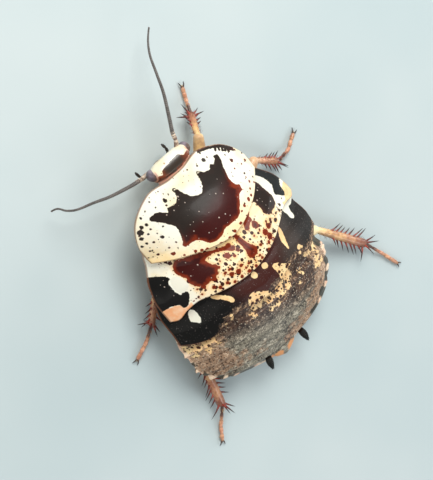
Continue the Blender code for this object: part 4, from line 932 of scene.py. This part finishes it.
def make_tail_plate():
    """Rounded last plate between the cerci."""
    share, across = grid(np.linspace(0, 1, 40), np.linspace(-1, 1, 51))
    x = across * 1.78 * (1 - 0.42 * share**2.4) * np.sqrt(np.maximum(0.02, 1 - share**6))
    y = 26.75 + share * 1.72 - 0.12 * across**2 - 0.22 * share**3 * np.exp(-((across / 0.3) ** 2))
    z = 4.98 - 1.15 * share**1.2 - 0.40 * across**2
    low = np.stack([x * 0.95, y, z - 0.3], axis=2)[:, ::-1]
    rings = np.concatenate([np.stack([x, y, z], axis=2), low], axis=1)
    corners = np.maximum(inside_spots(TAIL_ORANGE, rings[..., 0], rings[..., 1]), -1.0)
    shape = Shape(ABDOMEN_VALUES)
    shape.add_rings(rings, rear=1.0, cream=OFF_BACK, rim_pale=OFF_BACK, orange=corners, rim_dark=OFF_BACK)
    shape.build("tail_plate", [bpy.data.materials["abdomen_skin"]], ["supra_anal_plate"])


def underside_material():
    """Blotched tan skin, with the dark collar behind the head and its pale hem."""
    n = Nodes("underside_skin")
    colour = n.over(
        n.mottle(0.7, 0.38, 0.66, (0.24, 0.12, 0.055), (0.46, 0.28, 0.14), 4.0),
        (n.ramp(n.noise(3.0), 0.55, 0.7), (0.12, 0.055, 0.03)),
        (n.attribute("collar"), n.mottle(1.4, 0.4, 0.6, CROWN_BROWN, CROWN_RED)),
        (n.attribute("hem"), HEM_ROSE))
    relief = n.bump(n.noise(5.0), 0.35, 0.05)
    return n.done(colour, n.ramp(n.noise(1.5), -0.4, 1.4), relief, coat=0.1, coat_roughness=0.3)


def add_collar(shape):
    """Soft folded skin from the back of the head to the underside of the shield."""
    # share runs from the head to the shield, and the angle around the neck.
    share, angle = grid(np.linspace(0, 1, 26), circle(80))
    x = (2.35 + 0.75 * share) * np.cos(angle)
    y = 0.25 + 2.2 * share - 0.10 * np.cos(angle) ** 2 * (1 - share)
    z = (5.47 + 0.05 * share - 0.9 * (np.abs(x) / 3.1) ** 2.5
         + (0.62 + 0.012 * np.cos(share * 5 * math.pi)) * np.sin(angle))
    x, y = turned(x, y, HEAD_TURN)
    shield_x, shield_y = turned(x, y, (-PRONOTUM_TURN[0], PRONOTUM_TURN[1]))
    side = np.abs(shield_x)
    ahead = shield_front(side) - shield_y
    hem = smoothstep(0.17, 0.07, ahead + 0.5 * smoothstep(3.0, 2.2, side) * smoothstep(0.1, 0.2, ahead))
    shape.add_rings(np.stack([x, y, z], axis=2), collar=1.0, hem=hem)


def make_underside():
    """Soft leathery body between the plates and the legs, from the neck to the abdomen."""
    y, across = grid(np.linspace(1.75, 16.95, 110), across_back(60))
    grow = smoothstep(1.6, 4.6, y)
    x = across * np.maximum(0.6, 0.85 + grow * (half_width(y) * 0.60 - 0.85))
    fold = 0.14 * np.cos((y - 5.05) * 2 * math.pi / 5.7) ** 8
    roof = np.minimum(under_dome(x, y, 2.05), 5.3 + (y - 1.0) * 1.2) - 0.25 * (1 - grow)
    sole = np.minimum(np.maximum(belly(x, y) + fold, 3.7), roof - 0.9)
    middle = (roof + sole) / 2
    swell = (roof - middle) * np.sqrt(np.maximum(0, 1 - across**8))
    top, low = (np.stack([x, y, z], axis=2) for z in (middle + swell, middle - swell))
    shape = Shape(("collar", "hem"))
    shape.add_rings(np.concatenate([top, low[:, -2:0:-1]], axis=1))
    add_collar(shape)
    shape.build("thorax_underside", [underside_material()],
                ["prothorax", "mesothorax", "metathorax", "neck"])


def from_above(x, y, z):
    """Where a point seems to lie when the picture's sight line carries it up to the crown's height."""
    rise = (CROWN_HEIGHT - z) / CAMERA_BACK[2]
    return x + rise * CAMERA_BACK[0], y + rise * CAMERA_BACK[1]


def head_material():
    """Cream capsule with small tan dots and the dark crown band, redder at its sides."""
    n = Nodes("head_skin")
    crown = n.mix(n.ramp(n.attribute("side") + n.noise(1.2) * 0.8, 1.3, 2.4), CROWN_BROWN, CROWN_RED)
    colour = n.over(
        n.mottle(0.5, 0.4, 0.65, (0.91, 0.87, 0.72), (0.87, 0.76, 0.52), 2.0),
        (n.dots(1.2, 0.35, 0.05, 0.13), (0.50, 0.33, 0.20)),
        (n.attribute("lower"), (0.45, 0.22, 0.09)),
        (marked_edge(n, "band", 0.14, 0.04), crown),
        (n.attribute("eye_rim"), (0.66, 0.33, 0.24)),
        (n.attribute("groove"), (0.42, 0.24, 0.13)))
    relief = n.bump(n.noise(1.6, 2.0), 0.2, 0.06, n.bump(n.noise(7.0), 0.15, 0.03))
    return n.done(colour, n.noise(2.0) * 0.2 + 0.25, relief, coat=0.2, coat_roughness=0.15, see_in=0.05)


def make_head():
    """Head capsule with its face grooves, feeler sockets, eye rims and the dark band over the crown."""
    heights, *sizes = np.array(HEAD_RINGS).T
    low, high = heights[0], heights[-1]
    z = (low + (high - low) * (1 - np.linspace(1, 0, 110) ** 1.5))[:, None]
    wide, deep, middle = (smooth_through(np.stack([heights, size], axis=1), z) for size in sizes)
    close = 0.25 + 0.75 * np.sqrt(1 - np.clip((z - high + 0.12) / 0.12, 0, 1) ** 2)
    cos, sin = np.cos(circle(160)), np.sin(circle(160))
    out = close * (np.abs(cos) ** HEAD_SQUARENESS + np.abs(sin) ** HEAD_SQUARENESS) ** (-1 / HEAD_SQUARENESS)
    x, reach = wide * cos * out, deep * sin * out
    z = z + 0 * x
    side, front = np.abs(x), sin < 0
    # Face: the groove over the upper lip, one beside each brow, and the raised rims of the feeler sockets.
    clypeus = np.exp(-((z - 2.75 + 0.18 * (x / 1.2) ** 2) / 0.07) ** 2) * (side < 1.3)
    brow = np.exp(-((side - 0.95 + (z - 4.0) * 0.3) / 0.06) ** 2) * (z > 2.9) * (z < 4.4)
    groove = np.maximum(clypeus, brow * 0.6) * front
    socket = np.exp(-((np.hypot(side - 1.5, z - 4.35) - 0.42) / 0.1) ** 2) * front
    shrink = 1 - 0.035 * groove + 0.03 * socket
    x, y = x * shrink, middle + reach * shrink
    side = np.abs(x)
    band = np.minimum(inside_by(CROWN_BAND, *from_above(x, y, z)), (z - 4.2) * 0.8)
    eye = np.linalg.norm((np.stack([side, y, z], axis=2) - EYE_CENTRE) / EYE_RADII, axis=2)
    values = dict(band=band, side=side + 1.2 * smoothstep(0.2, 0.6, y), groove=groove * 0.6,
                  lower=smoothstep(2.6, 2.0, z),
                  eye_rim=0.9 * smoothstep(1.22, 1.15, eye) * smoothstep(-1.0, -0.6, y))
    shape = Shape(values)
    shape.add_rings(np.stack([*turned(x, y, HEAD_TURN), z], axis=2), **values)
    shape.build("head_skin", [head_material()], ["head"])


def eye_material():
    n = Nodes("eye_facets")
    colour = n.mottle(0.9, 0.35, 0.65, (0.080, 0.058, 0.074), (0.26, 0.21, 0.25))
    colour = n.mix(n.attribute("crown"), colour, (0.095, 0.050, 0.032))
    facets = n.ramp(n.cells(15.0, "3D")[0], 0.0, 0.6)
    return n.done(colour, 0.42, n.bump(facets, -0.5, 0.02), coat=0.25, coat_roughness=0.25)


def make_eyes():
    material = eye_material()
    lat, lon = grid(np.linspace(0.02, math.pi - 0.02, 56), circle(80))
    dx, dy, dz = np.sin(lat) * np.cos(lon), np.sin(lat) * np.sin(lon), np.cos(lat)
    pinch = 1 - 0.16 * np.exp(-((dz + 0.15) / 0.35) ** 2) * np.maximum(0, -dy) * np.maximum(0, -dx)
    for side, name in SIDES:
        x, y = turned(side * (EYE_CENTRE[0] + dx * EYE_RADII[0] * pinch),
                      EYE_CENTRE[1] + dy * EYE_RADII[1] * pinch, HEAD_TURN)
        shape = Shape(("crown",))
        shape.add_rings(np.stack([x, y, EYE_CENTRE[2] + dz * EYE_RADII[2]], axis=2),
                        crown=smoothstep(0.35, 0.85, dz * 0.8 - dx * side * 0.4 + dy * 0.3))
        shape.build(f"eye_{name}_facets", [material], [f"eye_{name}"])


def cuticle(name, light, dark, tip=None, coat=0.2, scale=1.2, see_in=0.0, rose=None, shine=0.5):
    """Leg or mouth cuticle, blotched from light to dark, darker toward the value 'tip'."""
    n = Nodes(name)
    layers = [(n.attribute("rose"), n.mottle(2.5, 0.35, 0.65, *rose))] if rose else []
    layers += [(n.attribute("shade"), LEG_SHADE), (n.attribute("pale"), LEG_PALE)]
    if tip:
        layers.append((n.ramp(n.attribute("tip"), 0.15, 0.75), tip))
    colour = n.over(n.mottle(scale, 0.36, 0.64, light, dark, 4.0), *layers)
    return n.done(colour, n.ramp(n.noise(3.0), -0.5, 1.7), n.bump(n.noise(8.0), 0.25, 0.03), coat, 0.15,
                  see_in, shine)


def make_mouth(amber, dark):
    """Upper lip, toothed jaws and lower lip under the head capsule."""
    lip = Shape()
    lip.add_ball((0.0, -0.10, 1.30), (0.78, 0.24, 0.58), HEAD_TURN, shade=0.75)
    lip.build("upper_lip", [amber], ["labrum"])
    for side, name in SIDES:
        jaw = Shape()
        jaw.add_ball((side * 0.53, 0.5, 1.2), (0.40, 0.24, 0.60), HEAD_TURN)
        for k in range(3):
            root = turned(side * 0.33, 0.4 + 0.1 * k, HEAD_TURN)
            tip = turned(side * 0.10, 0.4 + 0.12 * k, HEAD_TURN)
            jaw.add_thorn((*root, 0.92), (*tip, 0.72), 0.11, sides=6, steps=5)
        jaw.build(f"jaw_{name}", [dark], [f"mandible_{name}"])
    low = Shape()
    low.add_ball((0.0, 1.1, 1.25), (0.75, 0.24, 0.68), HEAD_TURN)
    for side in (-1, 1):
        knots = [(*turned(side * x, y, HEAD_TURN), z) for x, y, z in LIP_PALP]
        low.add_jointed(knots, [0.13, 0.15, 0.12], 3, 10)
    low.build("lower_lip", [amber], ["labium"])


def make_feelers():
    base_skin = cuticle("feeler_base_skin", (0.74, 0.60, 0.46), (0.16, 0.085, 0.055), scale=1.6)
    n = Nodes("feeler_thread")
    tone = n.mottle(2.0, 0.3, 0.7, (0.085, 0.072, 0.065), (0.16, 0.14, 0.125))
    tone = n.mix(n.attribute("shade"), tone, (0.022, 0.020, 0.018))
    thread_skin = n.done(tone, 0.45, n.bump(n.noise(16.0), 0.3, 0.02))
    palp_skin = cuticle("palp_skin", (0.17, 0.12, 0.09), (0.06, 0.035, 0.028), (0.03, 0.024, 0.022), coat=0.1)
    dice = random.Random(SEED)
    for side, scape, feeler, palp in (("right", SCAPE_RIGHT, FEELER_RIGHT, PALP_RIGHT),
                                      ("left", SCAPE_LEFT, FEELER_LEFT, PALP_LEFT)):
        shape = Shape()
        shape.add_jointed(scape[:3], [0.24, 0.29, 0.29], 1, 18, 0.7, 0.9)
        shape.add_jointed(scape[2:] + feeler[:1], [0.27, 0.27, 0.26], 3, 18, 0.7, 1.0)
        path = curve_through([scape[-1]] + feeler, FEELER_RINGS * 6 + 1)
        shares = np.linspace(0, 1, len(path))
        phase = (shares * FEELER_RINGS) % 1.0
        widths = 0.255 * (1 - shares) + 0.105 * shares
        swollen = widths * (0.84 + 0.16 * np.sin(phase * math.pi) ** 0.6)
        dark = 0.85 * ((phase < 0.17) | (phase > 0.9))
        shape.add_tube(path, swollen, swollen, 12, 1, tip=shares, shade=dark)
        for k in range(6, len(path) - 6, 3):
            shape.add_hair(path, k, dice, widths[k] * 0.7, (0.09, 0.13), 0.016, 1)
        shape.build(f"feeler_{side}", [base_skin, thread_skin],
                    [f"antenna_base_{side}", f"antenna_{side}"])
        x, y, z = palp[0]
        palps = Shape()
        palps.add_jointed([(x * 0.7, y + 0.3, z + 0.7), *palp], [0.2, 0.2, 0.19, 0.2, 0.17], 4, 14, 0.62, 0.3)
        palps.build(f"palp_{side}_joints", [palp_skin], [f"palp_{side}"])


def make_cerci():
    skin = cuticle("cercus_skin", (0.007, 0.010, 0.009), (0.016, 0.017, 0.014), (0.006, 0.007, 0.006),
                   coat=0.0, shine=0.15)
    dice = random.Random(SEED + 1)
    for side, knots in (("left", CERCUS_LEFT), ("right", CERCUS_RIGHT)):
        shape = Shape()
        shape.add_jointed(knots, [0.40, 0.47, 0.42, 0.28, 0.09], 8, 20, 0.84, 0.2)
        path = curve_through(knots, 40)
        for k in np.repeat(range(4, 38), 3):
            shape.add_hair(path, k, dice, 0.33 * (1 - k / 44), (0.22, 0.14), 0.018)
        shape.build(f"cercus_{side}_bristled", [skin], [f"cercus_{side}"])


def add_spines(shape, leg, knee, ankle, middle, widen):
    """Spines and spurs in their sockets, in the order and with the draws of the solids."""
    along, foot = unit(ankle - knee), unit(middle - ankle)
    level = unit(np.cross(along, UP))
    up = np.cross(level, along)
    start, end = knee + along * 0.90, ankle - along * 0.33
    spines = []
    rows = SPINE_ROWS[leg.split("_")[0]]
    for row in range(rows):
        share = 0.16 + 0.66 * (row + 0.5) / rows
        for side in (-1, 1):
            place = start + (end - start) * (share + 0.03 * side)
            away = unit(level * side + up * SPINE_DICE.uniform(-0.05, 0.35) + along * 0.75)
            spines.append((place, away, SPINE_LENGTH * SPINE_DICE.uniform(0.8, 1.1) * (0.75 + 0.35 * share)))
    for turn in SPUR_TURNS:
        angle = math.radians(turn)
        away = unit(up * math.cos(angle) * 0.55 + level * math.sin(angle) + along * 1.15)
        if away @ foot > NEAR_FOOT:
            away = unit(away - foot * 0.75)
        share = UNDER_SPUR_SHARE if abs(turn) > 90 else SPINE_DICE.uniform(0.85, 1.05)
        spines.append((end - along * 0.35, away, SPUR_LENGTH * share))
    for place, away, length in spines:
        tip = place + away * length * widen
        tip[2] = max(tip[2], SPINE_LOWEST)
        shape.add_thorn(place + away * 0.2, tip, SPINE_RADIUS, 1, sides=8, steps=7)
        socket = curve_through([place + away * 0.28 * widen, place + away * 0.48 * widen], len(SOCKET_RADII))
        shape.add_tube(socket, SOCKET_RADII, SOCKET_RADII, 10, 1, tip=0.15)


def add_claws(name, tip, ahead, skin):
    """Two bent claws and the pad between them."""
    claws = Shape()
    level, shares = np.cross(ahead, UP), np.linspace(0, 1, 12)
    widths = 0.11 * (1 - shares) ** 0.7 + 0.012
    for side in (-1, 1):
        start = tip - ahead * 0.15 + (0, 0, 0.02)
        bend = start + ahead * 0.45 + level * side * 0.24 + (0, 0, 0.06)
        end = start + ahead * 0.82 + level * side * 0.36
        end[2] = 0.12
        claws.add_tube(curve_through([start, bend, end], len(shares)), widths, widths, 8, tip=shares)
    pad = tip + ahead * 0.12
    claws.add_ball((pad[0], pad[1], 0.2), (0.16, 0.16, 0.12), pale=0.5)
    claws.build(name, [skin], [])


def make_leg(leg, skin, spine_skin, claw_skin, dice):
    """Whole leg from coxa to claws, with spines in their sockets and fine hairs."""
    root, hip, knee, ankle, middle, tip = np.array(LEG_JOINTS[leg])
    slim = FRONT_FEMUR_WIDTH if leg.startswith("front") else 1.0
    widen = HIND_TIBIA_WIDTH if leg.startswith("hind") else 1.0
    thigh_rose = MIDDLE_RIGHT_ROSE if leg == "middle_right" else 0.0
    knee_pale = 1.0 if leg == "hind_right" else 0.35
    shape = Shape((*LIMB_VALUES, "rose"))
    coxa = shape.add_limb(root - (hip - root) * 0.08, hip + (hip - root) * 0.06, COXA_SHAPE, 24,
                          pale=([0, 0.5, 1], [0.1, 0.25, 0.0]))
    out, along = unit(knee - hip), unit(ankle - knee)
    stations = [(s, w * slim, t * slim) if 0.2 < s < 0.9 else (s, w, t) for s, w, t in FEMUR_SHAPE]
    femur = shape.add_limb(hip - out * 0.05, knee + out * 0.45, stations, 22,
                           pale=([0, 0.7, 0.9, 1], [0.15, 0.25, knee_pale, knee_pale]),
                           shade=([0, 0.12, 0.2, 1], [0.5, 0.5, 0, 0]), rose=thigh_rose)
    stations = [(s, w * widen, t * widen) for s, w, t in TIBIA_SHAPE]
    tibia = shape.add_limb(knee + along * 0.12, ankle - along * 0.1, stations, 20,
                           pale=([0, 0.1, 0.2, 0.6, 1], [knee_pale, 0.3, 0.15, 0.05, 0.0]),
                           shade=([0, 0.3, 0.75, 0.9, 1], [0.0, 0.08, 0.3, 0.6, 0.8]),
                           rose=([0, 0.3, 0.6, 1], [thigh_rose, 0.15 + thigh_rose, 0.5, 0.9]))
    shape.add_hairs(femur, 0.7 * slim, 60, dice, 0.28)
    shape.add_hairs(tibia, 0.38 * widen, 110, dice, 0.6, 1)
    shape.add_hairs(coxa, 0.7, 30, dice, 0.25)
    add_spines(shape, leg, knee, ankle, middle, widen)
    knots = np.array([ankle - along * 0.05, ankle + (middle - ankle) * 0.45, middle, (middle + tip) / 2, tip])
    knots[1:, 2] = np.maximum(knots[1:, 2], 0.30)
    shape.add_jointed(knots, [0.21, 0.21, 0.24, 0.26, 0.25], 5, 16, 0.78, 0.35, root_shade=0.95, pale=0.08,
                      rose=0.8)
    shape.add_hairs(curve_through(knots, 40), 0.24, 70, dice, 0.24)
    shape.build(f"leg_{leg}", [skin, spine_skin],
                [f"{part}_{leg}" for part in ("coxa", "femur", "tibia", "tarsus")])
    add_claws(f"claws_{leg}", tip, unit(tip - middle), claw_skin)


def make_legs():
    skin = cuticle("leg_skin", (0.90, 0.54, 0.20), (0.42, 0.15, 0.045), scale=0.8, see_in=0.06,
                   rose=((0.72, 0.33, 0.22), (0.40, 0.11, 0.07)))
    spine_skin = cuticle("spine_skin", (0.46, 0.075, 0.045), (0.17, 0.025, 0.018), (0.016, 0.008, 0.008),
                         coat=0.1)
    claw_skin = cuticle("claw_skin", (0.10, 0.045, 0.03), (0.05, 0.022, 0.016), (0.02, 0.011, 0.01))
    dice = random.Random(SEED + 2)
    for leg in LEG_JOINTS:
        make_leg(leg, skin, spine_skin, claw_skin, dice)
    return skin, claw_skin


def make_floor():
    mesh = bpy.data.meshes.new("floor")
    corners = [(x * FLOOR_REACH, y * FLOOR_REACH, 0.0) for x, y in ((-1, -1), (1, -1), (1, 1), (-1, 1))]
    mesh.from_pydata(corners, [], [(0, 1, 2, 3)])
    n = Nodes("pale_floor")
    mesh.materials.append(n.done(n.mottle(0.02, 0.3, 0.7, (0.44, 0.53, 0.545), (0.52, 0.59, 0.595)), 0.6))
    placed("floor", mesh)


def add_area_light(name, place_mm, aim_mm, size_mm, power, colour, sheen):
    data = bpy.data.lights.new(name, "AREA")
    data.energy = power
    data.shape = "DISK"
    data.size = size_mm * MM
    data.color = colour
    data.specular_factor = sheen
    lamp = placed(name, data)
    lamp.location = Vector(place_mm) * MM
    lamp.rotation_euler = (Vector(aim_mm) * MM - lamp.location).to_track_quat("-Z", "Y").to_euler()


def make_light():
    world = bpy.data.worlds.new("soft_room")
    bpy.context.scene.world = world
    world.use_nodes = True
    background = world.node_tree.nodes["Background"]
    background.inputs["Color"].default_value = ROOM_COLOUR
    background.inputs["Strength"].default_value = ROOM_STRENGTH
    for name, *settings in LIGHTS:
        add_area_light(name, *settings)
    bpy.context.scene.view_settings.view_transform = "Standard"


def make_camera():
    right, up, back = (Vector(axis) for axis in (CAMERA_RIGHT, CAMERA_UP, CAMERA_BACK))
    forward = (right * ((PICTURE_WIDTH / 2 - LENS_CENTRE[0]) / FOCAL_PIXELS)
               - up * ((PICTURE_HEIGHT / 2 - LENS_CENTRE[1]) / FOCAL_PIXELS) - back).normalized()
    side = forward.cross(up).normalized()
    above = side.cross(forward).normalized()
    data = bpy.data.cameras.new("camera")
    data.sensor_width = SENSOR_MM
    data.lens = SENSOR_MM * FOCAL_PIXELS / PICTURE_HEIGHT
    data.clip_start = 0.002
    data.clip_end = 20.0
    camera = placed("camera", data)
    turn = Matrix((side, above, -forward)).transposed().to_4x4()
    camera.matrix_world = Matrix.Translation(Vector(CAMERA_EYE) * MM + Vector(OFFSET)) @ turn
    bpy.context.scene.camera = camera


make_camera()
make_floor()
make_light()
make_plates()
make_abdomen()
make_tail_plate()
make_underside()
make_head()
make_eyes()
leg_skin, dark_skin = make_legs()
make_mouth(leg_skin, dark_skin)
make_feelers()
make_cerci()
